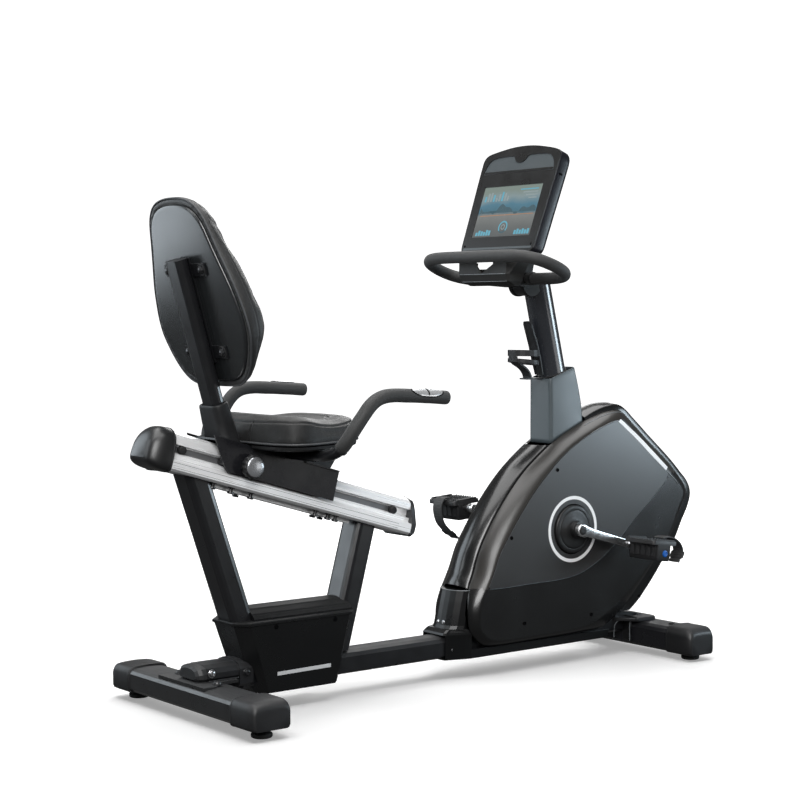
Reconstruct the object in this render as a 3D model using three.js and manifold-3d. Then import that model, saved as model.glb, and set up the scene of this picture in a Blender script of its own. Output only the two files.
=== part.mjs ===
// Recumbent exercise bike. Millimetres, +X forward (towards the console), +Y to the rider's left, +Z up, floor at z = 0.
import * as THREE from 'three';
import { mergeVertices } from 'three/addons/utils/BufferGeometryUtils.js';
import Module from 'manifold-3d';

const wasm = await Module();
wasm.setup();

// ---------------------------------------------------------------- driving dimensions (mm)
const X0 = 698.5;                 // shift that puts the origin under the middle of the bounding box
const REAR_FOOT_X = 0, FRONT_FOOT_X = 1342;
const REAR_FOOT_Y = 256, FRONT_FOOT_Y = 229;
const FOOT_R = 23;
const RAIL_TAN = 0.2905;        // fall of the seat rail towards the front
const RAIL_A = Math.atan(RAIL_TAN);
const RAIL_Z0 = 527;            // height of the rail underside above REAR_FOOT_X
const RAIL_S0 = -98, RAIL_S1 = 583;
const CRANK = [1063, 343];      // crank axis (x, z)
const CRANK_LEN = 172, CRANK_DEG = -16;
const FLY = [1322, 372], FLY_R = 108;
const PULLEY_R = 110, SMALL_R = 20;
const MAST_P = [1070, 730], MAST_LEAN = -0.2407, MAST_R = 34.5;
const PIVOT = [974, 963], PIVOT_R = 31;
const BACK_LEAN = 16.5 * Math.PI / 180;
const HAND_Y = 278;
const GAP = 0.3;

// ---------------------------------------------------------------- helpers
const root = new THREE.Group();
root.name = 'exercise_bike';
const mat = (c, r, m) => new THREE.MeshStandardMaterial({ color: c, roughness: r, metalness: m });
const M = {
  frame: () => mat(0x17181a, 0.32, 0.35), plastic: () => mat(0x202124, 0.55, 0.0), shell: () => mat(0x33363a, 0.42, 0.0),
  gloss: () => mat(0x111214, 0.22, 0.0), alu: () => mat(0xc9ccd0, 0.32, 0.95), chrome: () => mat(0xd9dcdf, 0.12, 1.0),
  rubber: () => mat(0x141414, 0.85, 0.0), foam: () => mat(0x2b2c2d, 0.9, 0.0), vinyl: () => mat(0x2a2b2d, 0.6, 0.0),
  panel: () => mat(0x4b5053, 0.6, 0.0), grey: () => mat(0x4f5559, 0.5, 0.0), steel: () => mat(0x8b8e91, 0.35, 0.9),
  iron: () => mat(0x3a3b3d, 0.5, 0.8), glass: () => mat(0x20303c, 0.08, 0.0), knob: () => mat(0xb9bcc0, 0.3, 0.9),
};

function geo(verts, tris) {
  let vol = 0;
  for (const [a, b, c] of tris) {
    const A = verts[a], B = verts[b], C = verts[c];
    vol += A[0] * (B[1] * C[2] - B[2] * C[1]) + A[1] * (B[2] * C[0] - B[0] * C[2]) + A[2] * (B[0] * C[1] - B[1] * C[0]);
  }
  const g = new THREE.BufferGeometry();
  const idx = [];
  for (const [a, b, c] of tris) vol > 0 ? idx.push(a, b, c) : idx.push(a, c, b);
  g.setAttribute('position', new THREE.Float32BufferAttribute(verts.flat(), 3));
  g.setIndex(idx);
  return g;
}
function capTris(ring) {
  const n = new THREE.Vector3(), N = ring.length, c = new THREE.Vector3();
  for (let i = 0; i < N; i++) {
    const a = ring[i], b = ring[(i + 1) % N];
    n.x += (a[1] - b[1]) * (a[2] + b[2]); n.y += (a[2] - b[2]) * (a[0] + b[0]); n.z += (a[0] - b[0]) * (a[1] + b[1]);
  }
  n.normalize();
  const u = Math.abs(n.z) < 0.9 ? new THREE.Vector3(0, 0, 1) : new THREE.Vector3(1, 0, 0);
  u.cross(n).normalize();
  const v = n.clone().cross(u);
  const pts = ring.map(p => new THREE.Vector2(p[0] * u.x + p[1] * u.y + p[2] * u.z, p[0] * v.x + p[1] * v.y + p[2] * v.z));
  return THREE.ShapeUtils.triangulateShape(pts, []);
}
// skin through rings of equal length; closed = last ring joins the first
function loft(rings, closed = false) {
  const N = rings[0].length, verts = rings.flat(), tris = [], K = rings.length;
  for (let k = 0; k < (closed ? K : K - 1); k++) {
    const a = k * N, b = ((k + 1) % K) * N;
    for (let i = 0; i < N; i++) {
      const j = (i + 1) % N;
      tris.push([a + i, a + j, b + j], [a + i, b + j, b + i]);
    }
  }
  if (!closed) {
    for (const [x, y, z] of capTris(rings[0])) tris.push([x, z, y]);
    const o = (K - 1) * N;
    for (const [x, y, z] of capTris(rings[K - 1])) tris.push([o + x, o + y, o + z]);
  }
  return geo(verts, tris);
}
const xz = (poly, y0, y1) => loft([poly.map(([x, z]) => [x, y0, z]), poly.map(([x, z]) => [x, y1, z])]);
const yz = (poly, x0, x1) => loft([poly.map(([y, z]) => [x0, y, z]), poly.map(([y, z]) => [x1, y, z])]);
const xy = (poly, z0, z1) => loft([poly.map(([x, y]) => [x, y, z0]), poly.map(([x, y]) => [x, y, z1])]);
const box = (x0, x1, y0, y1, z0, z1) => xz([[x0, z0], [x1, z0], [x1, z1], [x0, z1]], y0, y1);
function basis(d) {
  const t = new THREE.Vector3(...d).normalize();
  const u = Math.abs(t.z) < 0.9 ? new THREE.Vector3(0, 0, 1) : new THREE.Vector3(1, 0, 0);
  const a = u.clone().sub(t.clone().multiplyScalar(u.dot(t))).normalize();
  return [t, a, t.clone().cross(a)];
}
function circle(c, d, r, n, ph = 0) {
  const [, a, b] = basis(d), out = [];
  for (let i = 0; i < n; i++) {
    const w = 2 * Math.PI * (i + ph) / n, ca = Math.cos(w) * r, sb = Math.sin(w) * r;
    out.push([c[0] + a.x * ca + b.x * sb, c[1] + a.y * ca + b.y * sb, c[2] + a.z * ca + b.z * sb]);
  }
  return out;
}
const cyl = (p, q, r, n = 20, r2 = r) => {
  const d = [q[0] - p[0], q[1] - p[1], q[2] - p[2]];
  return loft([circle(p, d, r, n), circle(q, d, r2, n)]);
};
// body of revolution: profile [r, h]; h along d from c; open profiles start and end at r > 0 and are capped flat
function turn(c, d, prof, n, closed = false) {
  const t = new THREE.Vector3(...d).normalize();
  return loft(prof.map(([r, h]) => circle([c[0] + t.x * h, c[1] + t.y * h, c[2] + t.z * h], d, r, n)), closed);
}
// round tube along points; up = reference direction kept as the ring's first axis
function tube(pts, r, n, up, closed = false) {
  const K = pts.length, rings = [];
  for (let k = 0; k < K; k++) {
    const p = new THREE.Vector3(...pts[k]);
    const a = new THREE.Vector3(...pts[closed ? (k + K - 1) % K : Math.max(k - 1, 0)]);
    const b = new THREE.Vector3(...pts[closed ? (k + 1) % K : Math.min(k + 1, K - 1)]);
    const t = b.clone().sub(a).normalize();
    const U = new THREE.Vector3(...(typeof up === 'function' ? up(k) : up));
    const e1 = U.sub(t.clone().multiplyScalar(U.dot(t))).normalize(), e2 = t.clone().cross(e1), ring = [];
    const R = typeof r === 'function' ? r(k) : r;
    for (let i = 0; i < n; i++) {
      const w = 2 * Math.PI * i / n;
      const q = p.clone().addScaledVector(e1, Math.cos(w) * R).addScaledVector(e2, Math.sin(w) * R);
      ring.push([q.x, q.y, q.z]);
    }
    rings.push(ring);
  }
  return loft(rings, closed);
}
// round tube whose ring is carried along the path without twist
function bent(pts, r, n, up) {
  const K = pts.length, V = pts.map(p => new THREE.Vector3(...p)), rings = [];
  let e = new THREE.Vector3(...up);
  for (let k = 0; k < K; k++) {
    const t = V[Math.min(k + 1, K - 1)].clone().sub(V[Math.max(k - 1, 0)]).normalize();
    e = e.sub(t.clone().multiplyScalar(e.dot(t))).normalize();
    const f = t.clone().cross(e), ring = [], R = typeof r === 'function' ? r(k) : r;
    for (let i = 0; i < n; i++) {
      const w = 2 * Math.PI * i / n, q = V[k].clone().addScaledVector(e, Math.cos(w) * R).addScaledVector(f, Math.sin(w) * R);
      ring.push([q.x, q.y, q.z]);
    }
    rings.push(ring);
  }
  return loft(rings);
}
// band of rectangular section along points in space (w across side, t along its normal)
function strap(pts, side, w, t) {
  const K = pts.length, rings = [], S = new THREE.Vector3(...side).normalize();
  for (let k = 0; k < K; k++) {
    const p = new THREE.Vector3(...pts[k]);
    const d = new THREE.Vector3(...pts[Math.min(k + 1, K - 1)]).sub(new THREE.Vector3(...pts[Math.max(k - 1, 0)])).normalize();
    const nn = d.clone().cross(S).normalize(), ring = [];
    for (const [a, b] of [[-1, -1], [1, -1], [1, 1], [-1, 1]]) {
      const q = p.clone().addScaledVector(S, a * w / 2).addScaledVector(nn, b * t / 2);
      ring.push([q.x, q.y, q.z]);
    }
    rings.push(ring);
  }
  return loft(rings);
}
const curve = (pts, n, closed = false) => {
  const c = new THREE.CatmullRomCurve3(pts.map(p => new THREE.Vector3(...p)), closed, 'centripetal');
  const out = c.getSpacedPoints(n).map(v => [v.x, v.y, v.z]);
  if (closed) out.pop();
  return out;
};
function toM(g) {
  let h = g.index ? g.clone() : g.clone();
  h.deleteAttribute('normal'); h.deleteAttribute('uv');
  h = mergeVertices(h, 1e-4);
  return new wasm.Manifold(new wasm.Mesh({ numProp: 3, vertProperties: new Float32Array(h.attributes.position.array), triVerts: new Uint32Array(h.index.array) }));
}
function fromM(m) {
  const s = m.getMesh(), g = new THREE.BufferGeometry();
  g.setAttribute('position', new THREE.BufferAttribute(new Float32Array(s.vertProperties), 3));
  g.setIndex(new THREE.BufferAttribute(new Uint32Array(s.triVerts), 1));
  return g;
}
const join = (...gs) => fromM(gs.map(toM).reduce((a, b) => a.add(b)));
const cut = (g, ...hs) => fromM(hs.map(toM).reduce((a, b) => a.subtract(b), toM(g)));
const meet = (a, b) => fromM(toM(a).intersect(toM(b)));
const mirrorY = g => {
  const h = g.clone(); h.scale(1, -1, 1);
  const i = h.index.array; for (let k = 0; k < i.length; k += 3) { const t = i[k]; i[k] = i[k + 1]; i[k + 1] = t; }
  return h;
};
function add(name, g, m) {
  g.deleteAttribute('normal');
  g.translate(-X0, 0, 0);
  g.computeVertexNormals();
  const mesh = new THREE.Mesh(g, m);
  mesh.name = name;
  root.add(mesh);
}
// rail frame: s along the rail (towards the front), h square to it
const cA = Math.cos(RAIL_A), sA = Math.sin(RAIL_A);
const rail = (s, y, h) => [s * cA + h * sA, y, RAIL_Z0 - s * sA + h * cA];
const railPoly = (poly, s0, s1) => loft([poly.map(([y, h]) => rail(s0, y, h)), poly.map(([y, h]) => rail(s1, y, h))]);
const railSide = (poly, y0, y1) => loft([poly.map(([s, h]) => rail(s, y0, h)), poly.map(([s, h]) => rail(s, y1, h))]);
const both = half => [...half, ...half.slice().reverse().filter(([a]) => Math.abs(a) > 1e-6).map(([a, b]) => [-a, b])];

// ---------------------------------------------------------------- floor bars
function barProfile(hw, z0, zs, zt) {
  return both([[0, z0], [hw - 8, z0], [hw, z0 + 8], [hw, zs], [hw - 5, zs + (zt - zs) * 0.55], [hw * 0.66, zt - 1.6], [hw * 0.3, zt], [0, zt + 0.4]]).map(([x, z]) => [x, z]);
}
const shiftX = (poly, x) => poly.map(([a, b]) => [a + x, b]);
function footBar(xc, hw, z0, zs, zt, half) { return xz(shiftX(barProfile(hw, z0, zs, zt), xc), -half, half); }
function footCap(xc, hw, z0, zs, zt, y0, y1, footY) {
  const ring = (y, i) => barProfile(hw - i, z0 + i * 0.8, zs - i * 0.5, zt - i * 0.9).map(([x, z]) => [x + xc, y, z]);
  const s = loft([ring(y0, 0.6), ring(y0 + 3, 0), ring(y1 - 34, 0), ring(y1 - 16, 2.2), ring(y1 - 6, 7), ring(y1, 15)]);
  return cut(s, cyl([xc, footY, z0 - 5], [xc, footY, 62], 5.4, 16));
}
function foot(xc, y) {
  return turn([xc, y, 0], [0, 0, 1], [[20.5, 0], [FOOT_R, 2.5], [FOOT_R, 8.5], [19, 12], [9, 13.5], [5, 14.5], [5, 58]], 16);
}
const plate = xy([[-42, -96], [-42, 96], [-12, 96], [30, 60], [70, 60], [70, -60], [30, -60], [-12, -96]], 76.0, 82.4);
const boltR = [[3, 78], [3, -78], [14, 70]].slice(0, 2).map(([x, y]) => turn([x, y, 82], [0, 0, 1], [[9, 0], [8.5, 3], [5.5, 6], [2, 7.2]], 12));
add('rear_foot_bar', cut(join(footBar(REAR_FOOT_X, 50, 25, 67, 78.6, 211), plate, ...boltR), footBar(REAR_FOOT_X, 47, 28, 64.5, 75.4, 215)), M.frame());
for (const [s, n] of [[1, 'left'], [-1, 'right']]) {
  const g = footCap(REAR_FOOT_X, 52, 22, 68, 84, 211.4, 300, REAR_FOOT_Y);
  add('rear_foot_cap_' + n, s > 0 ? g : mirrorY(g), M.plastic());
  add('levelling_foot_rear_' + n, foot(REAR_FOOT_X, s * REAR_FOOT_Y), M.rubber());
}
// front bar with its two transport-wheel forks
const WHEEL = [1414, 36], WHEEL_Y = 150, WHEEL_R = 25;
let fb = footBar(FRONT_FOOT_X, 46, 18, 66, 82, 186);
for (const s of [1, -1]) for (const d of [-1, 1]) {
  const y = s * WHEEL_Y + d * 14.5;
  fb = join(fb, xz([[1380, 26], [1380, 62], [1400, 60], [1424, 48], [1428, 36], [1424, 26], [1410, 22]], y - 2, y + 2));
}
for (const s of [1, -1]) fb = join(fb, cyl([WHEEL[0], s * WHEEL_Y - 15, WHEEL[1]], [WHEEL[0], s * WHEEL_Y + 15, WHEEL[1]], 5, 14));
add('front_foot_bar', cut(fb, footBar(FRONT_FOOT_X, 43, 21, 63.5, 78.8, 190)), M.frame());
for (const [s, n] of [[1, 'left'], [-1, 'right']]) {
  const g = footCap(FRONT_FOOT_X, 48, 16, 68, 86, 186.4, 272, FRONT_FOOT_Y);
  add('front_foot_cap_' + n, s > 0 ? g : mirrorY(g), M.plastic());
  add('levelling_foot_front_' + n, foot(FRONT_FOOT_X, s * FRONT_FOOT_Y), M.rubber());
  const c = [WHEEL[0], s * WHEEL_Y, WHEEL[1]];
  add('transport_wheel_' + n, turn(c, [0, 1, 0], [[5.5, -11.5], [12, -11.5], [14, -9], [WHEEL_R - 2, -9], [WHEEL_R, -6.5], [WHEEL_R, 6.5], [WHEEL_R - 2, 9], [14, 9], [12, 11.5], [5.5, 11.5]], 20, true), M.rubber());
}

// ---------------------------------------------------------------- main beam with the welded inner frame
const beamP = (hw, z0, zs, zt) => both([[0, z0], [hw - 6, z0], [hw, z0 + 6], [hw, zs], [hw - 6, zs + (zt - zs) * 0.6], [hw * 0.5, zt - 1.5], [0, zt]]);
const BB = [CRANK[0], CRANK[1]];
const dCr = [Math.cos(CRANK_DEG * Math.PI / 180), Math.sin(CRANK_DEG * Math.PI / 180)];
let beam = join(
  yz(beamP(40, 52, 91, 105), 96, 1293),
  yz(beamP(45, 82.8, 100, 118), 0, 110),
  yz(beamP(47.5, 62, 102, 121), 82, 118),
  // saddle over the front bar, curled edges
  loft([[82.9, 0], [88.6, 0], [91.2, 3]].map(([z, i]) => [[1250, -40], [1288, -84 + i], [1296, -90 + i], [1346, -93 + i], [1358 - i, -89 + i], [1365 - i, -80], [1367 - i, -66], [1367 - i, 66], [1365 - i, 80], [1358 - i, 89 - i], [1346, 93 - i], [1296, 90 - i], [1288, 84 - i], [1250, 40]].map(([x, y]) => [x, y, z]))),
  // its two ears, folded down behind the bar
  xy([[1288.8, -66], [1295.3, -66], [1295.3, -38], [1288.8, -38]], 27, 89), xy([[1288.8, 38], [1295.3, 38], [1295.3, 66], [1288.8, 66]], 27, 89),
  xz([[1256, 86], [1256, 104], [1290, 104], [1330, 97], [1362, 90], [1366, 86]], 38, 43),
  xz([[1256, 86], [1256, 104], [1290, 104], [1330, 97], [1362, 90], [1366, 86]], -43, -38),
  // bottom-bracket post and shell
  xz([[1046, 100], [1096, 100], [1080, 330], [1046, 330]], -9, 9),
  cyl([BB[0], -33, BB[1]], [BB[0], 33, BB[1]], 21, 24),
  // flywheel fork
  xz([[1256, 98], [1282, 98], [1338, 372], [1330, 388], [1314, 388], [1304, 372]], 22, 26.5),
  xz([[1256, 98], [1282, 98], [1338, 372], [1330, 388], [1314, 388], [1304, 372]], -26.5, -22),
);
beam = cut(beam, join(yz(beamP(36.8, 55.2, 88.5, 101.6), 122, 1240), box(-4, 130, -34, 34, 86.4, 101)), cyl([BB[0], -40, BB[1]], [BB[0], 40, BB[1]], 10.5, 24), cyl([FLY[0], -40, FLY[1]], [FLY[0], 40, FLY[1]], 6.5, 16));
add('main_beam', beam, M.frame());
const capRing = (x, i) => both([[0, 83.2 + i * 0.4], [38 - i, 83.2 + i * 0.4], [44.5 - i, 89 + i * 0.2], [44.5 - i, 99 - i * 0.3], [38 - i, 111 - i * 0.6], [20 - i * 0.5, 116.4 - i * 0.7], [0, 117.8 - i * 0.7]]).map(([y, z]) => [x, y, z]);
add('beam_end_cap', loft([capRing(-0.4, 0), capRing(-12, 0.6), capRing(-20, 4), capRing(-25, 10)]), M.plastic());

// ---------------------------------------------------------------- legs
function legRing(xc, hx, hy, n4, rr = 0.8) {
  const out = [], r = Math.min(hx, hy) * rr;
  for (const [sx, sy, a0] of [[1, 1, 0], [-1, 1, 90], [-1, -1, 180], [1, -1, 270]])
    for (let i = 0; i <= n4; i++) {
      const w = (a0 + 90 * i / n4) * Math.PI / 180;
      out.push([xc + sx * (hx - r) + Math.cos(w) * r, sy * (hy - r) + Math.sin(w) * r]);
    }
  return out;
}
function leg(xRef, zRef, slope, hx, hy, zb, top) {
  const base = legRing(0, hx, hy, 3, 0.5);
  const at = z => base.map(([dx, y]) => [xRef + slope * (z - zRef) + dx, y, z]);
  const lid = base.map(([dx, y]) => {
    // meets the rail underside: z = RAIL_Z0 - RAIL_TAN x - top
    const a = xRef + dx - slope * zRef;
    const z = (RAIL_Z0 - top - RAIL_TAN * a) / (1 + RAIL_TAN * slope);
    return [a + slope * z, y, z];
  });
  return loft([at(zb), lid]);
}
const legCore = (xRef, zRef, slope, hx) => { const base = legRing(0, hx - 3.2, 32.8, 2, 0.4), at = z => base.map(([dx, y]) => [xRef + slope * (z - zRef) + dx, y, z]); return loft([at(60), at(600)]); };   // square-tube bore
const legR = e => leg(102, 206, -0.347, 29.5 + e, 36 + e, 105.6, 0.6);
const legF = e => leg(447, 390, 0.275, 29 + e, 36 + e, 105.6, 0.6);
add('rear_leg', cut(legR(0), box(60, 118.6, -60, 60, 100, 122.4), legCore(102, 206, -0.347, 29.5)), M.frame());
add('front_leg', cut(legF(0), legCore(447, 390, 0.275, 29)), M.frame());

// ---------------------------------------------------------------- base cover round the beam and legs
function coverRing(x0, x1, hw, ch, z) {
  return [[x0, -(hw - ch)], [x0 + ch, -hw], [x1 - ch * 0.5, -hw], [x1, -(hw - ch * 0.5)], [x1, hw - ch * 0.5], [x1 - ch * 0.5, hw], [x0 + ch, hw], [x0, hw - ch]].map(([x, y]) => [x, y, z]);
}
const coverOut = loft([coverRing(127, 346, 60, 24, 40), coverRing(125, 348, 61, 25, 44), coverRing(71, 384, 69, 29, 196), coverRing(66, 390, 71.5, 30, 198), coverRing(66, 390, 71.5, 30, 203), coverRing(69, 387, 70, 30, 205)]);
const coverIn = loft([coverRing(131, 342, 57, 22, 38), coverRing(75, 379, 66, 27, 196), coverRing(75, 379, 66, 27, 200)]);
const hump = yz(both([[0, 202], [52, 202], [52, 209], [46, 216], [44, 216], [41, 220], [30, 227], [28, 226], [24, 229.5], [10, 232.5], [0, 233]]), 112, 392);
let cover = cut(join(coverOut, hump), coverIn);
cover = cut(cover, yz(beamP(40.6, 51.4, 91.3, 105.6), 300, 420), yz(beamP(48.2, 61.3, 102.5, 121.7), 60, 170), yz(beamP(40.6, 51.4, 91.3, 105.6), 100, 200), legR(0.6), legF(0.6), box(388, 400, -60, 60, 206, 240), box(60, 118, -60, 60, 205.5, 240));
add('base_cover', cover, M.gloss());

// ---------------------------------------------------------------- seat rail
const railHalf = [[0, 0], [46, 0], [52, 5], [52, 23], [49, 27], [40, 27], [36, 31], [36, 39], [22, 41], [22, 57], [34, 59.5], [34, 66], [31, 74], [23, 81.5], [11, 86.5], [0, 88]];
const railBody = railPoly(both(railHalf), RAIL_S0, RAIL_S1);
const railCore = railPoly(both([[0, 8], [17, 8], [17, 62], [12, 76], [0, 79]]), RAIL_S0 - 5, RAIL_S1 + 5);
const strip = railPoly([[-17, -8.5], [17, -8.5], [17, 1], [-17, 1]], 40, 425);
add('seat_rail', cut(join(railBody, strip), railCore), M.alu());
function capSec(s, w, h0, h1) {
  return both([[0, 0], [0.8, 0], [0.94, 0.04], [1, 0.12], [1, 0.36], [0.95, 0.56], [0.84, 0.76], [0.64, 0.9], [0.34, 0.98], [0, 1]]).map(([y, h]) => rail(s, y * w, h0 + (h1 - h0) * h));
}
add('rail_rear_cover', loft([capSec(-98.4, 53.5, -4, 91.5), capSec(-118, 53.5, -3, 91), capSec(-132, 51, -1, 87), capSec(-144, 46, 3, 77), capSec(-152, 39, 8, 64), capSec(-157, 28, 15, 50)]), M.gloss());
const fcap = (s, i) => both([[0, -4 + i], [44 - i, -4 + i], [52.5 - i, 2 + i], [53 - i, 28], [44 - i, 46], [37 - i, 66 - i], [24 - i * 0.6, 83 - i], [0, 90 - i]]).map(([y, h]) => rail(s, y, h));
add('rail_front_cap', loft([fcap(583.4, 0), fcap(592, 0.4), fcap(600, 5)]), M.plastic());

// ---------------------------------------------------------------- seat carriage (folded sheet), glide blocks, lock knob
const sidePlate = [[-15, 98.7], [335, 98.7], [337, 29], [40, 29], [33, 34]];
const HBX = 219, HBZ = 575;   // where the hand-bar tube crosses under the seat
const KN = [90.7, 53.4];        // lock knob (s, h)
let carriage = join(
  railSide(sidePlate, 54.6, 58.4), railSide(sidePlate, -58.4, -54.6),
  railPoly([[-56, 91], [56, 91], [56, 95], [-56, 95]], 0, 334),
  // folded lips on the side plates
  railPoly([[54.6, 96.2], [64, 96.2], [64, 99.5], [54.6, 99.5]], 236, 332), railPoly([[-64, 96.2], [-54.6, 96.2], [-54.6, 99.5], [-64, 99.5]], 236, 332),
);
const kc = rail(KN[0], 0, KN[1]);
carriage = cut(carriage, cyl([kc[0], -70, kc[2]], [kc[0], -50, kc[2]], 6.6, 16), cyl([HBX, -70, HBZ], [HBX, 70, HBZ], 13.2, 20));
add('seat_carriage', carriage, M.frame());
for (const [s, n] of [[1, 'left'], [-1, 'right']]) {
  const g = railSide([[34, 42], [328, 42], [332, 45], [332, 54], [328, 56], [34, 56], [30, 54], [30, 45]], 23.2, 54.2);
  add('glide_block_' + n, s > 0 ? g : mirrorY(g), M.plastic());
}
function scallop(y, R, dep, n) {
  const out = [];
  for (let i = 0; i < n; i++) { const w = 2 * Math.PI * i / n, r = R - (i % 2 ? dep : 0); out.push([kc[0] + Math.cos(w) * r, y, kc[2] + Math.sin(w) * r]); }
  return out;
}
const knobBody = loft([scallop(-66, 24, 0, 28), scallop(-69, 27, 1.8, 28), scallop(-80, 27.5, 2, 28), scallop(-84, 25, 0.6, 28)]);
add('lock_knob', join(knobBody, cyl([kc[0], -54.7, kc[2]], [kc[0], -60, kc[2]], 6, 16), cyl([kc[0], -58.8, kc[2]], [kc[0], -67, kc[2]], 12, 20),
  turn([kc[0], -83, kc[2]], [0, -1, 0], [[22, 0], [22, 2.6], [20, 4.4], [14, 5.6], [6, 6]], 24)), M.knob());

// ---------------------------------------------------------------- seat bracket, pan, cushion
const zPlate = x => RAIL_Z0 + 100 / cA - RAIL_TAN * x;
let bracket = xz([[142, 592], [362, 592], [360, 578], [330, zPlate(330)], [145, zPlate(145)]], -50, 50);
bracket = cut(bracket, xz([[120, 588], [358, 588], [356, 579], [327, zPlate(327) - 4], [327, 500], [120, 500]], -46, 46));
bracket = cut(bracket, cyl([HBX, -60, HBZ], [HBX, 60, HBZ], 13, 20));
const SEAT_XC = 246;
const seatHalf = [[100, 0], [100.5, 60], [104, 118], [113, 164], [132, 191], [160, 200], [194, 196], [228, 184], [262, 171], [296, 156], [330, 138], [358, 117], [378, 90], [389, 52], [393, 0]];
const seatRing = (k, z) => [[100, 0], ...seatHalf.slice(1, -1), [393, 0], ...seatHalf.slice(1, -1).reverse().map(([x, y]) => [x, -y])].map(([x, y]) => {
  const X = SEAT_XC + (x - SEAT_XC) * (1 + (k - 1) * 1.15), Y = y * k;
  return [X, Y, typeof z === 'function' ? z(X) : z];
});
add('seat_pan', cut(join(bracket, loft([seatRing(0.93, 590), seatRing(0.975, 594), seatRing(0.985, 600)])), box(60, 118, -66, 66, 580, 601), box(110, 145, -66, 66, 580, 598)), M.plastic());
// the top dips across the middle and rises to the back and to the front lobe
const saddle = x => (x < 150 ? 13 : x < 270 ? 13 * (0.5 + 0.5 * Math.cos(Math.PI * (x - 150) / 120)) : x < 350 ? 6 * (0.5 - 0.5 * Math.cos(Math.PI * (x - 270) / 80)) : 6);
add('seat_cushion', loft([seatRing(0.97, 600.4), seatRing(0.995, 603), seatRing(1.0, 607), seatRing(0.985, 622), seatRing(0.965, x => 638 + saddle(x) * 0.4), seatRing(0.915, x => 647 + saddle(x) * 0.8), seatRing(0.82, x => 650 + saddle(x))]), M.vinyl());

// ---------------------------------------------------------------- backrest: post, boot, panel, cushion
const bs = Math.sin(BACK_LEAN), bc = Math.cos(BACK_LEAN);
const PZ = 727, PX = 17.5 - Math.tan(BACK_LEAN) * (PZ - 860);   // foot of the panel's rear face
const back = (v, y, d) => [PX - v * bs + d * bc, y, PZ + v * bc + d * bs];
const post = (e, d0, d1) => {
  const ring = legRing((d0 + d1) / 2, (d1 - d0) / 2 + e, 29 + e, 3);
  const low = ring.map(([d, y]) => {
    // runs down to the carriage web: h = 95.4
    const p0 = back(0, y, d), hp = (p0[0] * sA + (p0[2] - RAIL_Z0) * cA), dir = [-bs, bc], hd = dir[0] * sA + dir[1] * cA;
    return back((95.5 - hp) / hd, y, d);
  });
  return [low, ring.map(([d, y]) => back(298, y, d))];
};
const postTube = loft(post(0, -34, -4));
const arm = v => loft([[-3.8, 0], [-0.4, 0]].map(([d]) => [[v - 14, -82], [v + 14, -82], [v + 14, 82], [v - 14, 82]].map(([vv, y]) => back(vv, y, d))));
let postG = join(postTube, loft([0, 1].map(k => [[-4.4, -28], [-0.4, -28], [-0.4, 28], [-4.4, 28]].map(([d, y]) => back(k ? 297 : 60, y, d)))), arm(84), arm(270));
for (const v of [84, 270]) for (const y of [68, -68]) { const c = back(v, y, -3.5); postG = join(postG, turn(c, [-bc, 0, -bs], [[9.5, 0], [9, 4], [6, 7.4], [2, 8.8]], 12)); }
postG = cut(postG, loft((() => { const q = legRing(-19, 12, 26, 2); return [q.map(([d, y]) => back(-260, y, d)), q.map(([d, y]) => back(294, y, d))]; })()));   // tube bore, closed at the top
add('back_post', postG, M.frame());
const bootRing = (v, hx, hy, dc) => legRing(dc, hx, hy, 3).map(([d, y]) => back(v, y, d));
const bootLow = (hx, hy, dc) => legRing(dc, hx, hy, 3).map(([d, y]) => {
  const p0 = back(0, y, d), hp = (p0[0] * sA + (p0[2] - RAIL_Z0) * cA), hd = -bs * sA + bc * cA;
  return back((95.9 - hp) / hd, y, d);
});
const bootOut = loft([bootLow(24, 45, -20), bootRing(-66, 23, 42, -20), bootRing(-36, 20.5, 40, -20), bootRing(-30, 18.5, 37.5, -20)]);
add('post_boot', cut(bootOut, loft((() => { const r = legRing(-19, 15.6, 30.6, 3); return [r.map(([d, y]) => back(-200, y, d)), r.map(([d, y]) => back(20, y, d))]; })())), M.plastic());
const outline = [[0, 0], [40, 0.4], [70, 1.4], [92, 4], [109, 10], [125, 20], [141, 36], [157, 59], [171, 88], [181, 118], [183, 146], [180, 175], [168, 229], [147, 287], [131, 332], [118, 371], [106, 394], [88, 413], [66, 424.5], [40, 430.5], [20, 432.5], [0, 433]];
// share of the full cushion thickness at each height: thin at the foot, fullest at the lumbar swell, thinner at the top
const swell = [[-20, 0.22], [10, 0.28], [37, 0.42], [70, 0.6], [103, 0.84], [128, 0.98], [165, 1.04], [200, 1.02], [270, 0.97], [319, 0.83], [378, 0.72], [450, 0.64]];
const swellAt = v => { let i = 0; while (i < swell.length - 2 && v > swell[i + 1][0]) i++; const [v0, t0] = swell[i], [v1, t1] = swell[i + 1]; return t0 + (t1 - t0) * Math.min(Math.max((v - v0) / (v1 - v0), 0), 1); };
const backRing = (k, d, off = 0) => {
  const half = outline.slice(1, -1), full = [[0, 0], ...half, [0, 433], ...half.slice().reverse().map(([y, v]) => [-y, v])];
  return full.map(([y, v]) => { const vv = 205 + (v - 205) * k + off; return back(vv, y * k, d > 13 ? 12.4 + (d - 12.4) * swellAt(vv) : d); });
};
add('back_panel', loft([backRing(0.965, 0), backRing(0.99, 2.5), backRing(1, 6), backRing(1, 12)]), M.panel());
add('back_cushion', loft([backRing(0.985, 12.4), backRing(1.0, 17), backRing(0.985, 32, -3), backRing(0.95, 46, -7), backRing(0.87, 57, -8), backRing(0.7, 64, -8)]), M.vinyl());

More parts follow.
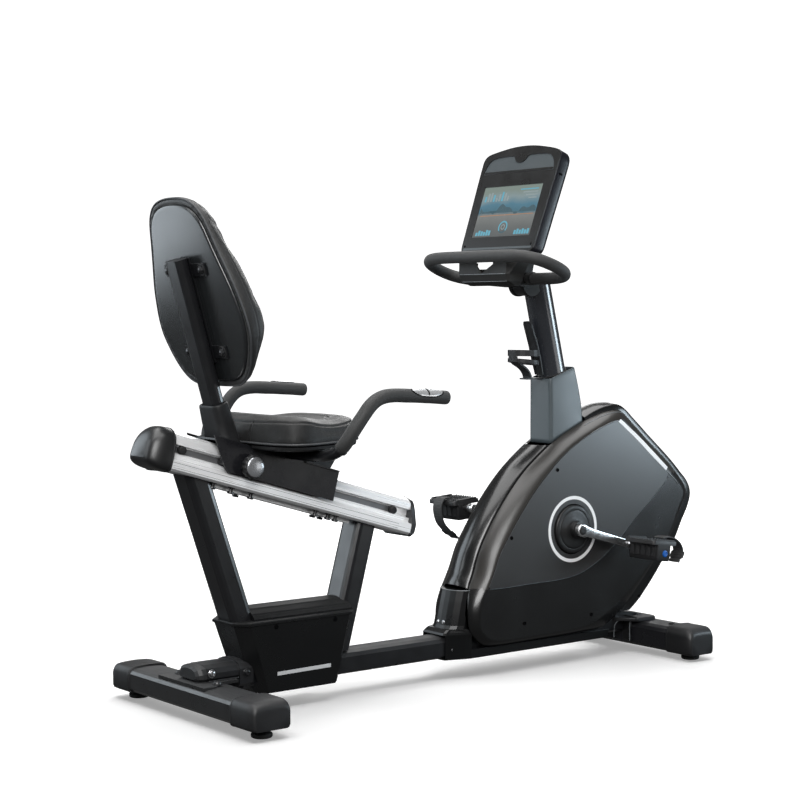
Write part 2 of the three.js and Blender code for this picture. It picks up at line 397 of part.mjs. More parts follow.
// ---------------------------------------------------------------- seat hand bars
const hbHalf = [[481, 278, 702], [424, 278, 706.5], [372, 278, 709.5], [338, 278, 711], [311, 278, 709], [290, 278, 702], [272, 277.5, 689], [256, 276, 670], [242, 272, 650], [229, 266, 628], [220, 256, 608], [216, 241, 593], [215, 220, 584], [216, 195, 578.5], [218, 160, 575.5], [219, 120, 575], [219, 70, 575]];
const hbSm = curve(hbHalf, 20);
const hbSide = bent([...hbSm, [219, -1, 575]], 12.4, 10, [0, 1, 0]);
add('seat_handlebar', join(hbSide, mirrorY(hbSide)), M.frame());
const gripN = 14;
const gripOut = bent([[489, 278, 701.4], [486.5, 278, 701.6], ...hbSm.slice(1, gripN)], k => (k === 0 ? 12.5 : 15.6), 10, [0, 1, 0]);
const gripCore = bent([[481.4, 278, 701.97], ...hbSm.slice(1, gripN + 2)], 12.95, 10, [0, 1, 0]);
const grip = cut(gripOut, gripCore);
const sc = [424, 278, 706.4];
const egg = [];
for (let k = 0; k <= 8; k++) { const w = Math.PI * (k + 0.35) / 8.7, r = Math.sin(w); egg.push(circle([sc[0] - 43 * Math.cos(w), sc[1], sc[2] + 3.4 + 2.6 * Math.cos(w)], [1, 0, -0.06], Math.max(r, 0.05) * 17.5, 16)); }
const sensor = meet(cut(loft(egg), tube([[340, 278, 711.6], [500, 278, 700.6]], 16.4, 24, [0, 1, 0])), box(370, 480, 255, 301, 709.5, 740));
for (const [s, n] of [[1, 'left'], [-1, 'right']]) {
  add('grip_' + n, s > 0 ? grip.clone() : mirrorY(grip), M.foam());
  add('pulse_sensor_' + n, s > 0 ? sensor.clone() : mirrorY(sensor), M.chrome());
}

// ---------------------------------------------------------------- drive casing
// [edge x, edge z, edge half width, panel x, panel z, proud, bulge]
const CS = [
  [800, 71, 62, 812, 87, 0, 0], [776, 77, 62, 790, 93, 0, 0], [756, 92, 62, 772, 105, 0, 0], [738, 118, 61.5, 757, 125, 0, 0], [734, 155, 60, 758, 160, 0, 0], [739, 188, 54, 768, 192, 0, 0],
  [749, 216, 46, 782, 222, 2, 16], [766, 247, 42, 797, 254, 3, 17], [787, 304, 42, 818, 300, 3, 17], [818, 357, 42, 844, 337, 3, 18], [851, 403, 42, 876, 380, 3, 18], [892, 451, 42, 923, 436, 3, 18],
  [938, 496, 42, 968, 480, 3, 17], [987, 533, 42, 1016, 521, 3, 15], [1029, 561, 42, 1060, 550, 3, 14], [1066, 581, 42, 1098, 570, 3, 11], [1104, 598, 42, 1141, 589, 4, 8],
  [1144, 614, 43, 1172, 600, 6, 10], [1178, 626, 46, 1200, 609, 9, 12], [1215, 636, 53, 1222, 612, 11, 13], [1252, 636, 60, 1241, 610, 12, 14], [1300, 600, 62, 1282, 575, 12, 15],
  [1353, 556, 62, 1335, 530, 12, 16], [1400, 520, 62, 1375, 496, 11, 13], [1440, 487, 62, 1412, 466, 11, 12], [1474, 452, 62, 1444, 440, 13, 14], [1494, 428, 62, 1462, 421, 16, 18],
  [1500, 406, 62, 1468, 404, 20, 24], [1489, 383, 62, 1456, 380, 24, 27], [1466, 345, 62, 1436, 342, 24, 28], [1442, 302, 62, 1415, 300, 24, 28], [1406, 262, 62, 1376, 262, 26, 28],
  [1366, 218, 62, 1334, 222, 28, 28], [1330, 180, 62, 1296, 190, 28, 27], [1293, 144, 62, 1258, 163, 26, 25], [1248, 108, 62, 1213, 134, 18, 18], [1190, 77, 62, 1160, 104, 0, 0],
  [1110, 72, 62, 1100, 90, 0, 0], [970, 70, 62, 960, 86, 0, 0],
];
const NC = CS.length, PANEL_Y = 83, WALL = 3;
const nrm = (i, a = 0, b = 1) => {
  const p = CS[(i + NC - 1) % NC], q = CS[(i + 1) % NC];
  let dx = q[a] - p[a], dz = q[b] - p[b]; const l = Math.hypot(dx, dz);
  return [-dz / l, dx / l];
};
const inset = (i, t, a = 0, b = 1) => { const n = nrm(i, a, b); return [CS[i][a] - n[0] * t, CS[i][b] - n[1] * t]; };
const midway = (i, t) => {
  const a = inset(i, t), b = inset(i, t, 3, 4), w = CS[i][2];
  return [a[0] * 0.42 + b[0] * 0.58, w + (PANEL_Y - w) * 0.78 - (t > 0 ? t : t), a[1] * 0.42 + b[1] * 0.58];
};
function shell() {
  const P = CS.map(c => [c[3], PANEL_Y, c[4]]), E = CS.map(c => [c[0], c[2], c[1]]);
  const Mid = CS.map((c, i) => midway(i, 0));
  const Ei = CS.map((c, i) => { const [x, z] = inset(i, WALL); return [x, c[2], z]; });
  const Mi = CS.map((c, i) => midway(i, WALL));
  const Pi = CS.map((c, i) => { const [x, z] = inset(i, WALL, 3, 4); return [x, PANEL_Y - WALL, z]; });
  return loft([P, Mid, E, Ei, Mi, Pi]);
}
// whole casing outline as a solid, grown by e, used to clear its neighbours
function casingSolid(e) {
  const P = CS.map((c, i) => { const [x, z] = inset(i, -e, 3, 4); return [x, PANEL_Y + e, z]; });
  const Mid = CS.map((c, i) => { const q = midway(i, -e); return q; });
  const E = CS.map((c, i) => { const [x, z] = inset(i, -e); return [x, c[2] - e, z]; });
  const m = r => r.map(([x, y, z]) => [x, -y, z]);
  return loft([P, Mid, E, m(E), m(Mid), m(P)]);
}
const sh = cut(shell(), cyl([CRANK[0], 70, CRANK[1]], [CRANK[0], 95, CRANK[1]], 64, 36), box(1216, 1330, 20, 44.4, 40, 106.5));
add('casing_left', sh.clone(), M.shell());
add('casing_right', mirrorY(sh), M.shell());
// lower tray: collar round the beam, upstand behind the shells, strip under them
const plan = (pts, z) => both(pts.map(([x, y]) => [y, x])).map(([y, x]) => [x, y, z]);
const trayPlan = (x0, w0, ex, z, x1 = 1208) => plan([[x0, 0], [x0, w0 - 8], [x0 + 4, w0 - 2], [x0 + 12, w0], [728, 60 + ex], [742, 63 + ex], [x1 - 30, 63 + ex], [x1, 63 + ex], [x1, 0]], z);
const skirtPlan = (x0, z, t = 0) => plan([[x0 + t, 0], [x0 + 1.5 + t, 16], [x0 + 7 + t, 32 - t * 0.5], [x0 + 19 + t, 44 - t], [x0 + 34 + t, 52 - t], [790, 56 - t], [790, 0]], z);
const innerPlan = z => plan([[600, 0], [600, 43], [689, 43], [729, 57], [742, 60], [900, 60], [1400, 60], [1400, 0]], z);
let tray = loft([trayPlan(676, 44, -2, 47), trayPlan(674, 46, 0, 50), trayPlan(674, 46, 0, 68, 1214)]);
tray = cut(tray, loft([innerPlan(50.5), innerPlan(75)]));
let upstand = join(
  loft([trayPlan(674, 46, 0, 62, 800), trayPlan(674, 46, 0, 108, 800), trayPlan(677, 44, -2, 113, 800), trayPlan(688, 42, -3, 120, 800)]),
  loft([skirtPlan(690, 116), skirtPlan(696, 128), skirtPlan(702, 155), skirtPlan(709, 185), skirtPlan(716, 212)]));
upstand = cut(upstand, loft([innerPlan(60), innerPlan(107)]),
  loft([skirtPlan(693, 106, 3), skirtPlan(699, 128, 3), skirtPlan(705, 155, 3), skirtPlan(712, 185, 3), skirtPlan(720, 214, 3)]));
let skirt = cut(join(tray, upstand), casingSolid(0.35), box(745, 900, -90, 90, 69, 260), yz(beamP(40.6, 51.4, 91.6, 105.6), 640, 760));
const beamClear = join(yz(beamP(40.6, 51.4, 91.6, 105.6), 640, 760), xz([[1150, 40], [1150, 109], [1300, 109], [1310, 91.5], [1420, 91.5], [1420, 40]], -105, 105));
add('casing_skirt', skirt, M.gloss());
// centre bands between the two shells
function band(i0, i1) {
  const rings = [];
  for (let k = i0; k <= i1; k++) {
    const i = (k + NC) % NC, c = CS[i], n = nrm(i), w = c[2] - GAP, p = c[5], b = c[6];
    const at = (o, y) => [c[0] + n[0] * o, y, c[1] + n[1] * o], d = Math.max(p + b - 4, 0) * 0.8 - 3;
    rings.push([at(-3, -w), at(p * 0.8, -w), at(p, -w * 0.95), at(p + b * 0.55, -w * 0.72), at(p + b * 0.9, -w * 0.38), at(p + b, 0), at(p + b * 0.9, w * 0.38), at(p + b * 0.55, w * 0.72), at(p, w * 0.95), at(p * 0.8, w), at(-3, w), at(d, w * 0.5), at(d, -w * 0.5)]);
  }
  return loft(rings);
}
add('casing_spine', cut(band(6, 15), box(640, 800, -60, 60, 100, 212.6), box(1024.4, 1100, -60, 60, 540, 640)), M.gloss());
add('casing_front_band', cut(band(17, 35), beamClear, box(1100, 1143.6, -60, 60, 560, 700), box(1180, 1300, -105, 105, 60, 109.4)), M.gloss());

// ---------------------------------------------------------------- mast, sleeve, bottle cage
const mastX = z => MAST_P[0] + MAST_LEAN * (z - MAST_P[1]);
const ZT = 975;
const mastRing = (z, r, n) => { const out = []; for (let i = 0; i < n; i++) { const w = 2 * Math.PI * i / n; out.push([mastX(z) + Math.cos(w) * r * 1.028, Math.sin(w) * r, z]); } return out; };
let mast = cut(loft([mastRing(105.6, MAST_R, 24), mastRing(ZT, MAST_R, 24)]), loft([mastRing(100, MAST_R - 2.5, 24), mastRing(ZT - 6, MAST_R - 2.5, 24)]));
// hinge barrel; its upper rear is relieved to a small hub so the tilting front bar of the loop clears it
const swept = xz([[PIVOT[0], PIVOT[1]], ...[118, 140, 165, 190, 214].map(d => [PIVOT[0] + 60 * Math.cos(d * Math.PI / 180), PIVOT[1] + 60 * Math.sin(d * Math.PI / 180)])], -30, 30);
mast = join(mast, join(cut(cyl([PIVOT[0], -17.5, PIVOT[1]], [PIVOT[0], 17.5, PIVOT[1]], PIVOT_R - 1.5, 24), swept), cyl([PIVOT[0], -17.5, PIVOT[1]], [PIVOT[0], 17.5, PIVOT[1]], 13, 20)));
mast = cut(mast, cyl([PIVOT[0], -40, PIVOT[1]], [PIVOT[0], 40, PIVOT[1]], 8.4, 16),
  cyl([PIVOT[0], 17.8, PIVOT[1]], [PIVOT[0], 60, PIVOT[1]], PIVOT_R + 1, 28), cyl([PIVOT[0], -60, PIVOT[1]], [PIVOT[0], -17.8, PIVOT[1]], PIVOT_R + 1, 28));
mast = cut(mast, join(xz([[1192, 96], [1242, 96], [1344, 372], [1336, 394], [1308, 394], [1298, 372]], 21.4, 27.1), xz([[1192, 96], [1242, 96], [1344, 372], [1336, 394], [1308, 394], [1298, 372]], -27.1, -21.4)));
add('mast', mast, M.frame());
function sleeveRing(x0, x1, hw, zf, r) {
  const out = [], xc = (x0 + x1) / 2, hx = (x1 - x0) / 2;
  for (const [sx, sy, a0] of [[1, 1, 0], [-1, 1, 90], [-1, -1, 180], [1, -1, 270]])
    for (let i = 0; i <= 3; i++) { const w = (a0 + 30 * i) * Math.PI / 180; const x = xc + sx * (hx - r) + Math.cos(w) * r, y = sy * (hw - r) + Math.sin(w) * r; out.push([x, y, zf(x)]); }
  return out;
}
const slB = x => 567 + 0.414 * (x - 1029) - 6, slT = x => 726 + 0.34 * (x - 1034);
const sleeve = loft([sleeveRing(1026, 1142, 41.3, slB, 9), sleeveRing(1026, 1137, 41.2, x => slB(x) + 30, 9), sleeveRing(1025, 1114, 39.6, x => slT(x) - 4, 8), sleeveRing(1026.5, 1112.5, 38.2, slT, 8)]);
add('mast_sleeve', cut(sleeve, loft([mastRing(500, MAST_R + 0.7, 24), mastRing(800, MAST_R + 0.7, 24)])), M.grey());
const mt = new THREE.Vector3(MAST_LEAN, 0, 1).normalize(), mr = new THREE.Vector3(-mt.z, 0, mt.x);   // along the mast, rearwards
const cageO = [mastX(800), 800];
const cg = (a, r, y) => [cageO[0] + mt.x * a + mr.x * r, y, cageO[1] + mt.z * a + mr.z * r];
const RING_X = 969.5, RING_R = 40;
// level ring; z0/z1 at the nose, m0/m1 at the mast side
const ringBand = (z0, z1, m0, m1, t, w0 = 0, w1 = 360) => {
  const K = w1 - w0 >= 360 ? 20 : 4, rings = [];
  for (let k = 0; k < K; k++) {
    const w = (w0 + (w1 - w0) * k / (K - (w1 - w0 >= 360 ? 0 : 1))) * Math.PI / 180, c = Math.cos(w), q = Math.sin(w), f = (1 - c) / 2;
    const lo = z0 + (m0 - z0) * f, hi = z1 + (m1 - z1) * f;
    rings.push([[RING_R, lo], [RING_R, hi], [RING_R - t, hi], [RING_R - t, lo]].map(([e, z]) => [RING_X - c * e, q * e, z]));
  }
  return loft(rings, w1 - w0 >= 360);
};
// curved back plate, standing off the mast and leaning a little away from it
const plateAt = (a, r, w) => [cg(a, r, -w), cg(a, r + 4, -w), cg(a, r + 1, -w * 0.45), cg(a, r + 1, w * 0.45), cg(a, r + 4, w), cg(a, r, w), cg(a, r - 3, w * 0.45), cg(a, r - 3, -w * 0.45)];
const cagePlate = loft([plateAt(-67, 42, 14), plateAt(-20, 43, 17), plateAt(20, 44.5, 17), plateAt(76, 51, 15), plateAt(84, 52.5, 11)]);
const cageWeb = strap(curve([[934, 0, 781], [937, 0, 771], [947, 0, 762], [961, 0, 755], [974, 0, 745], [982, 0, 733], [984, 0, 723.5]], 10), [0, 1, 0], 30, 4.5);
let cage = join(cagePlate, ringBand(782, 798, 781, 796, 4), ringBand(768, 777, 757, 768, 4), ringBand(770, 790, 770, 790, 4, -20, 20), cageWeb,
  box(970, 1024, -15, 15, 722, 726), cyl(cg(-34, 30, 0), cg(-34, 44, 0), 8, 14), cyl(cg(30, 30, 0), cg(30, 46, 0), 8, 14));
cage = cut(cage, box(1022, 1130, -40, 40, 700, 733), loft([mastRing(600, MAST_R + 0.4, 24), mastRing(1000, MAST_R + 0.4, 24)]));
add('bottle_cage', cage, M.plastic());

// ---------------------------------------------------------------- handlebar loop, console bracket, console
const HL0 = [803, 1029], HL1 = [941, 976];
const hlSide = [[803, 40], [803, 82], [803.5, 118], [806, 152], [814, 181], [831, 204], [856, 216], [884, 219], [910, 211], [929, 191], [939, 163], [943, 120], [943, 45]];
const hlAt = ([x, y], s) => [x, s * y, HL0[1] - 0.384 * (x - HL0[0])];
const hlRaw = [...hlSide.map(p => hlAt(p, 1)), ...hlSide.slice().reverse().map(p => hlAt(p, -1))];
const hlN = new THREE.Vector3(HL1[1] - HL0[1], 0, -(HL1[0] - HL0[0])).normalize();
const loopPath = curve(hlRaw, 32, true);
add('handlebar_loop', tube(loopPath, 15, 10, [hlN.x, 0, hlN.z], true), M.foam());
const loopCut = tube(loopPath, 15.4, 10, [hlN.x, 0, hlN.z], true);
const C0 = [878, 1052], ct = 20.2 * Math.PI / 180, cs = Math.sin(ct), cc = Math.cos(ct);
const con = (L, y, d) => [C0[0] + L * cs + d * cc, y, C0[1] + L * cc - d * cs];
// open tray inside the loop, then the neck back to the hinge
const trayAt = (z, x0, y0, c, y1, x1) => [[x0, -y0], [x0 + c, -y1], [x1, -y1], [x1, y1], [x0 + c, y1], [x0, y0]].map(([x, y]) => [x, y, z]);
let dish = loft([trayAt(958, 862, 80, 4, 84, 880), trayAt(968, 838, 86, 4, 90, 884), trayAt(986, 831, 88, 6, 95, 886), trayAt(1016, 833, 90, 20, 108, 892)]);
dish = cut(dish, box(837, 882, -84, 84, 984, 1030), box(878, 900, -84, 84, 1000, 1030));
let bracketC = join(
  dish,
  xz([[884, 959], [950, 955], [960, 965], [958, 1000], [930, 1028], [884, 999.5]], -46, 46),
  xz([[925.5, 1000], [958, 990], [972, 1050], [970, 1096], [952, 1100], [936, 1060]], -46, 46),
  cyl([PIVOT[0], 18.1, PIVOT[1]], [PIVOT[0], 29, PIVOT[1]], PIVOT_R, 24), cyl([PIVOT[0], -29, PIVOT[1]], [PIVOT[0], -18.1, PIVOT[1]], PIVOT_R, 24),
  cyl([PIVOT[0], -26, PIVOT[1]], [PIVOT[0], 26, PIVOT[1]], 8, 16),
);
bracketC = cut(bracketC, loopCut, join(cyl([PIVOT[0], -17.9, PIVOT[1]], [PIVOT[0], 17.9, PIVOT[1]], PIVOT_R + 0.5, 28), xz([[PIVOT[0], PIVOT[1] - 40], [PIVOT[0] + 60, PIVOT[1] - 60], [PIVOT[0] + 60, PIVOT[1] + 30], [PIVOT[0] + 10, PIVOT[1] + 34], [PIVOT[0], PIVOT[1] + 20]], -17.9, 17.9)),
  xz([[970, 930], [1020, 930], [1020, 976], [990, 976]], -60, -29.2), xz([[970, 930], [1020, 930], [1020, 976], [990, 976]], 29.2, 60),
  loft([[-39, 1012], [4, 988], [26, 1012], [26, 1020], [-39, 1020]].reduce((a, [y, z]) => { a[0].push([800, y, z]); a[1].push([850, y, z - 2]); return a; }, [[], []])));
bracketC = join(bracketC, cyl([PIVOT[0], -26, PIVOT[1]], [PIVOT[0], 26, PIVOT[1]], 8, 16));
// the housing stands in front of the neck
const conOut = [[126, -14], [135, -6], [137, 4], [140, 100], [143.5, 200], [143.5, 238], [138, 252], [126, 259.5], [80, 269], [42, 274.5], [0, 276.5]];
const conRing = (k, d, dL = 0) => {
  const full = [...conOut, ...conOut.slice(0, -1).reverse().map(([y, L]) => [-y, L])];
  return full.map(([y, L]) => con(128 + (L - 128) * (1 - k / 140) + dL, y * (1 - k / 136), d));
};
let house = loft([conRing(2.5, 0), conRing(0, 3), conRing(0, 28), conRing(4, 38), conRing(14, 45)]);
const rect = (w, L0, L1, d0, d1) => loft([d0, d1].map(d => [con(L0, -w, d), con(L0, w, d), con(L1, w, d), con(L1, -w, d)]));
house = cut(house, rect(118, 24, 178, -5, 3.2));
// shallow grip pocket with a round notch above the screen
house = cut(house, loft([-4, 2].map(d => [[-128, 203], [128, 203], [122, 226], [104, 240], [64, 249], [22, 251], [15, 241], [0, 236], [-15, 241], [-22, 251], [-64, 249], [-104, 240], [-122, 226]].map(([y, L]) => con(L, y, d)))));
bracketC = cut(bracketC, loft([conRing(-1, -3, 0), conRing(-1, 45, 0)]));
add('console_bracket', bracketC, M.plastic());
add('console_housing', house, M.gloss());
add('console_screen', rect(117.6, 24.4, 177.6, 0.6, 2.9), M.glass());

// ---------------------------------------------------------------- cranks, pedals, drive
const spin = (s) => [CRANK[0] + s * CRANK_LEN * dCr[0], CRANK[1] + s * CRANK_LEN * dCr[1]];
const PED = { right: spin(1), left: spin(-1) };
function arm2(px, y0, y1) {
  const a = Math.atan2(px[1] - CRANK[1], px[0] - CRANK[0]), poly = [];
  for (let i = 0; i <= 8; i++) { const w = a + Math.PI / 2 + Math.PI * i / 8; poly.push([CRANK[0] + Math.cos(w) * 16, CRANK[1] + Math.sin(w) * 16]); }
  for (let i = 0; i <= 8; i++) { const w = a - Math.PI / 2 + Math.PI * i / 8; poly.push([px[0] + Math.cos(w) * 11.5, px[1] + Math.sin(w) * 11.5]); }
  return xz(poly, y0, y1);
}
add('crank_axle', join(cyl([CRANK[0], -118, CRANK[1]], [CRANK[0], 118, CRANK[1]], 10, 20), cyl([CRANK[0], 33.5, CRANK[1]], [CRANK[0], 43.5, CRANK[1]], 24, 20)), M.steel());
for (const [s, n] of [[-1, 'right'], [1, 'left']]) {
  const p = PED[n], y0 = s * 106, y1 = s * 121;
  let g = join(arm2(p, Math.min(y0, y1), Math.max(y0, y1)), cyl([p[0], s * 116, p[1]], [p[0], s * 240, p[1]], 6.2, 16));
  g = cut(g, cyl([CRANK[0], s * 100, CRANK[1]], [CRANK[0], s * 119, CRANK[1]], 10.4, 20));
  add('crank_arm_' + n, g, M.chrome());
  // stepped rotating dust cover
  const dsc = turn([CRANK[0], s * 79, CRANK[1]], [0, s, 0], [[12, 0], [61, 0], [61.5, 9], [57, 12], [50, 12], [47, 9.5], [44, 13], [22, 19], [20, 26], [12, 26]], 22, true);
  add('crank_cover_' + n, dsc, M.plastic());
}
function pedalParts(s, p, pitch, strapPts) {
  const R = (x, y, z) => { const a = pitch * Math.PI / 180; return [p[0] + x * Math.cos(a) - z * Math.sin(a), s * y, p[1] + x * Math.sin(a) + z * Math.cos(a)]; };
  const B = (x0, x1, y0, y1, z0, z1, t = 0) => loft([[x0, z0], [x1, z0], [x1 - t, z1], [x0 + t, z1]].map(([x, z]) => [[x, y0, z], [x, y1, z]]).reduce((acc, [a, b]) => { acc[0].push(R(...a)); acc[1].push(R(...b)); return acc; }, [[], []]));
  let g = join(
    loft([[-20, -32], [20, -32], [24, -26], [24, 10], [-24, 10], [-24, -24]].map(([x, z]) => [[x, 144, z], [x, 244, z]]).reduce((acc, [a, b]) => { acc[0].push(R(...a)); acc[1].push(R(...b)); return acc; }, [[], []])),
    B(-40, 48, 140, 244, 8, 17, 2),
    B(-40, 48, 140, 146, 14, 23, 3), B(-40, 48, 238, 244, 14, 23, 3),
    B(-30, -24, 152, 232, 16, 20, 1), B(-3, 3, 152, 232, 16, 20, 1), B(24, 30, 152, 232, 16, 20, 1),
  );
  g = cut(g, cyl(R(0, 125, 0), R(0, 240.6, 0), 6.7, 16));
  const st = strap(curve(strapPts.map(q => R(...q)), 14), [0, 1, 0], 34, 3.2);
  const bk = strapPts[strapPts.length - 2];
  const buckle = B(bk[0] - 4.5, bk[0] + 4.5, bk[1] - 20, bk[1] + 20, bk[2] - 9, bk[2] + 9);
  return [g, join(st, buckle)];
}
{
  const [g, st] = pedalParts(-1, PED.right, -7, [[14, 208, 25.5], [36, 208, 29], [60, 208, 25], [80, 208, 13], [90, 208, -4], [86, 208, -18], [78, 208, -34]]);
  add('pedal_right', g, M.plastic()); add('pedal_strap_right', st, M.rubber());
  const [g2, st2] = pedalParts(1, PED.left, 4, [[-24, 186, 26], [-42, 186, 27], [-54, 186, 14], [-57, 186, -8], [-50, 186, -36], [-30, 186, -60], [-2, 186, -84]]);
  add('pedal_left', g2, M.plastic()); add('pedal_strap_left', st2, M.rubber());
}
add('drive_pulley', turn([CRANK[0], 0, CRANK[1]], [0, 1, 0], [[10.3, 44], [30, 44], [32, 47], [92, 47], [96, 43.8], [PULLEY_R, 43.8], [PULLEY_R, 56.2], [94, 52], [30, 52], [10.3, 56]], 28, true), M.plastic());
{
  const d = Math.hypot(FLY[0] - CRANK[0], FLY[1] - CRANK[1]), a = Math.atan2(FLY[1] - CRANK[1], FLY[0] - CRANK[0]);
  const loopB = off => {
    const R1 = PULLEY_R + off, R2 = SMALL_R + off, b = Math.acos((R1 - R2) / d), pts = [];
    for (let i = 0; i <= 26; i++) { const w = a + b + (2 * Math.PI - 2 * b) * i / 26; pts.push([CRANK[0] + Math.cos(w) * R1, CRANK[1] + Math.sin(w) * R1]); }
    for (let i = 0; i <= 8; i++) { const w = a - b + 2 * b * i / 8; pts.push([FLY[0] + Math.cos(w) * R2, FLY[1] + Math.sin(w) * R2]); }
    return pts;
  };
  const I = loopB(0.8), O = loopB(3.6);
  add('drive_belt', loft([I.map(([x, z]) => [x, 45, z]), I.map(([x, z]) => [x, 55, z]), O.map(([x, z]) => [x, 55, z]), O.map(([x, z]) => [x, 45, z])], true), M.rubber());
}
add('flywheel', join(
  turn([FLY[0], 0, FLY[1]], [0, 1, 0], [[6, -8], [28, -8], [30, -5], [82, -5], [86, -9], [FLY_R, -9], [FLY_R, 9], [86, 9], [82, 5], [30, 5], [28, 8], [6, 8]], 28, true),
  cyl([FLY[0], -34, FLY[1]], [FLY[0], 60, FLY[1]], 6.1, 16), cyl([FLY[0], 43.8, FLY[1]], [FLY[0], 56.2, FLY[1]], SMALL_R, 18)), M.iron());
{
  // magnetic brake block: two cheeks either side of the flywheel rim, bridged outside it
  const a0 = 232 * Math.PI / 180, a1 = 262 * Math.PI / 180, arc = (r, t) => [FLY[0] + Math.cos(t) * r, FLY[1] + Math.sin(t) * r];
  const sector = (r0, r1, y0, y1) => { const q = []; for (let i = 0; i <= 5; i++) q.push(arc(r0, a0 + (a1 - a0) * i / 5)); for (let i = 5; i >= 0; i--) q.push(arc(r1, a0 + (a1 - a0) * i / 5)); return xz(q, y0, y1); };
  add('brake_magnet', join(sector(84, 120, 11.5, 21.5), sector(84, 120, -21.5, -11.5), sector(112, 120, -15, 15)), M.iron());
}

export default root;
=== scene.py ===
import bpy, bmesh, math
import numpy as np
from mathutils import Vector, Matrix


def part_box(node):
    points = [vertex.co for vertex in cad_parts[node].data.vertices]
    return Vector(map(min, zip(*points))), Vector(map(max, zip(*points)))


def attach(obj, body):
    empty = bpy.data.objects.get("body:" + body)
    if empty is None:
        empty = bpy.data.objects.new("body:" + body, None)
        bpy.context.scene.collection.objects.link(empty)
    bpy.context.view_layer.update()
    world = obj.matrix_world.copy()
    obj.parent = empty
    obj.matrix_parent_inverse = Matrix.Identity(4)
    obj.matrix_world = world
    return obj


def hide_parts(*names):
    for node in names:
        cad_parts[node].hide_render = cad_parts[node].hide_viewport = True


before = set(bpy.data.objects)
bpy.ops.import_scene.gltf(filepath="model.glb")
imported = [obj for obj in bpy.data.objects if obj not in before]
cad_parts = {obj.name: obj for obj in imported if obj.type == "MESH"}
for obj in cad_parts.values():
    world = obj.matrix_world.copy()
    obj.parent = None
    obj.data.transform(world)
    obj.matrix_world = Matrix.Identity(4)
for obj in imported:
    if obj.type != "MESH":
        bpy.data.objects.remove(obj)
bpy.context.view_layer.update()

# ------------------------------------------------------------------ working frame: mm, x from the rear foot bar, z up
X0 = 698.5
def W(p):
    return ((p[0] - X0) / 1000.0, p[1] / 1000.0, p[2] / 1000.0)

RAIL_TAN, RAIL_Z0 = 0.2905, 527.0
RAIL_A = math.atan(RAIL_TAN)
CA, SA = math.cos(RAIL_A), math.sin(RAIL_A)
CRANK = (1063.0, 343.0)
CRANK_LEN, CRANK_DEG = 172.0, -16.0
DCR = (math.cos(math.radians(CRANK_DEG)), math.sin(math.radians(CRANK_DEG)))
MAST_P, MAST_LEAN, MAST_R = (1070.0, 730.0), -0.2407, 34.5
PIVOT, PIVOT_R = (974.0, 963.0), 31.0
BACK_LEAN = math.radians(16.5)
BS, BC = math.sin(BACK_LEAN), math.cos(BACK_LEAN)
PZ = 727.0
PX = 17.5 - math.tan(BACK_LEAN) * (PZ - 860)
mastX = lambda z: MAST_P[0] + MAST_LEAN * (z - MAST_P[1])
rail = lambda s, y, h: (s * CA + h * SA, y, RAIL_Z0 - s * SA + h * CA)
back = lambda v, y, d: (PX - v * BS + d * BC, y, PZ + v * BC + d * BS)

scene = bpy.context.scene
coll = scene.collection

# ------------------------------------------------------------------ materials
MATS = {}
def _n(nt, kind, x=0, y=0, **kw):
    n = nt.nodes.new(kind); n.location = (x, y)
    for k, v in kw.items():
        setattr(n, k, v)
    return n

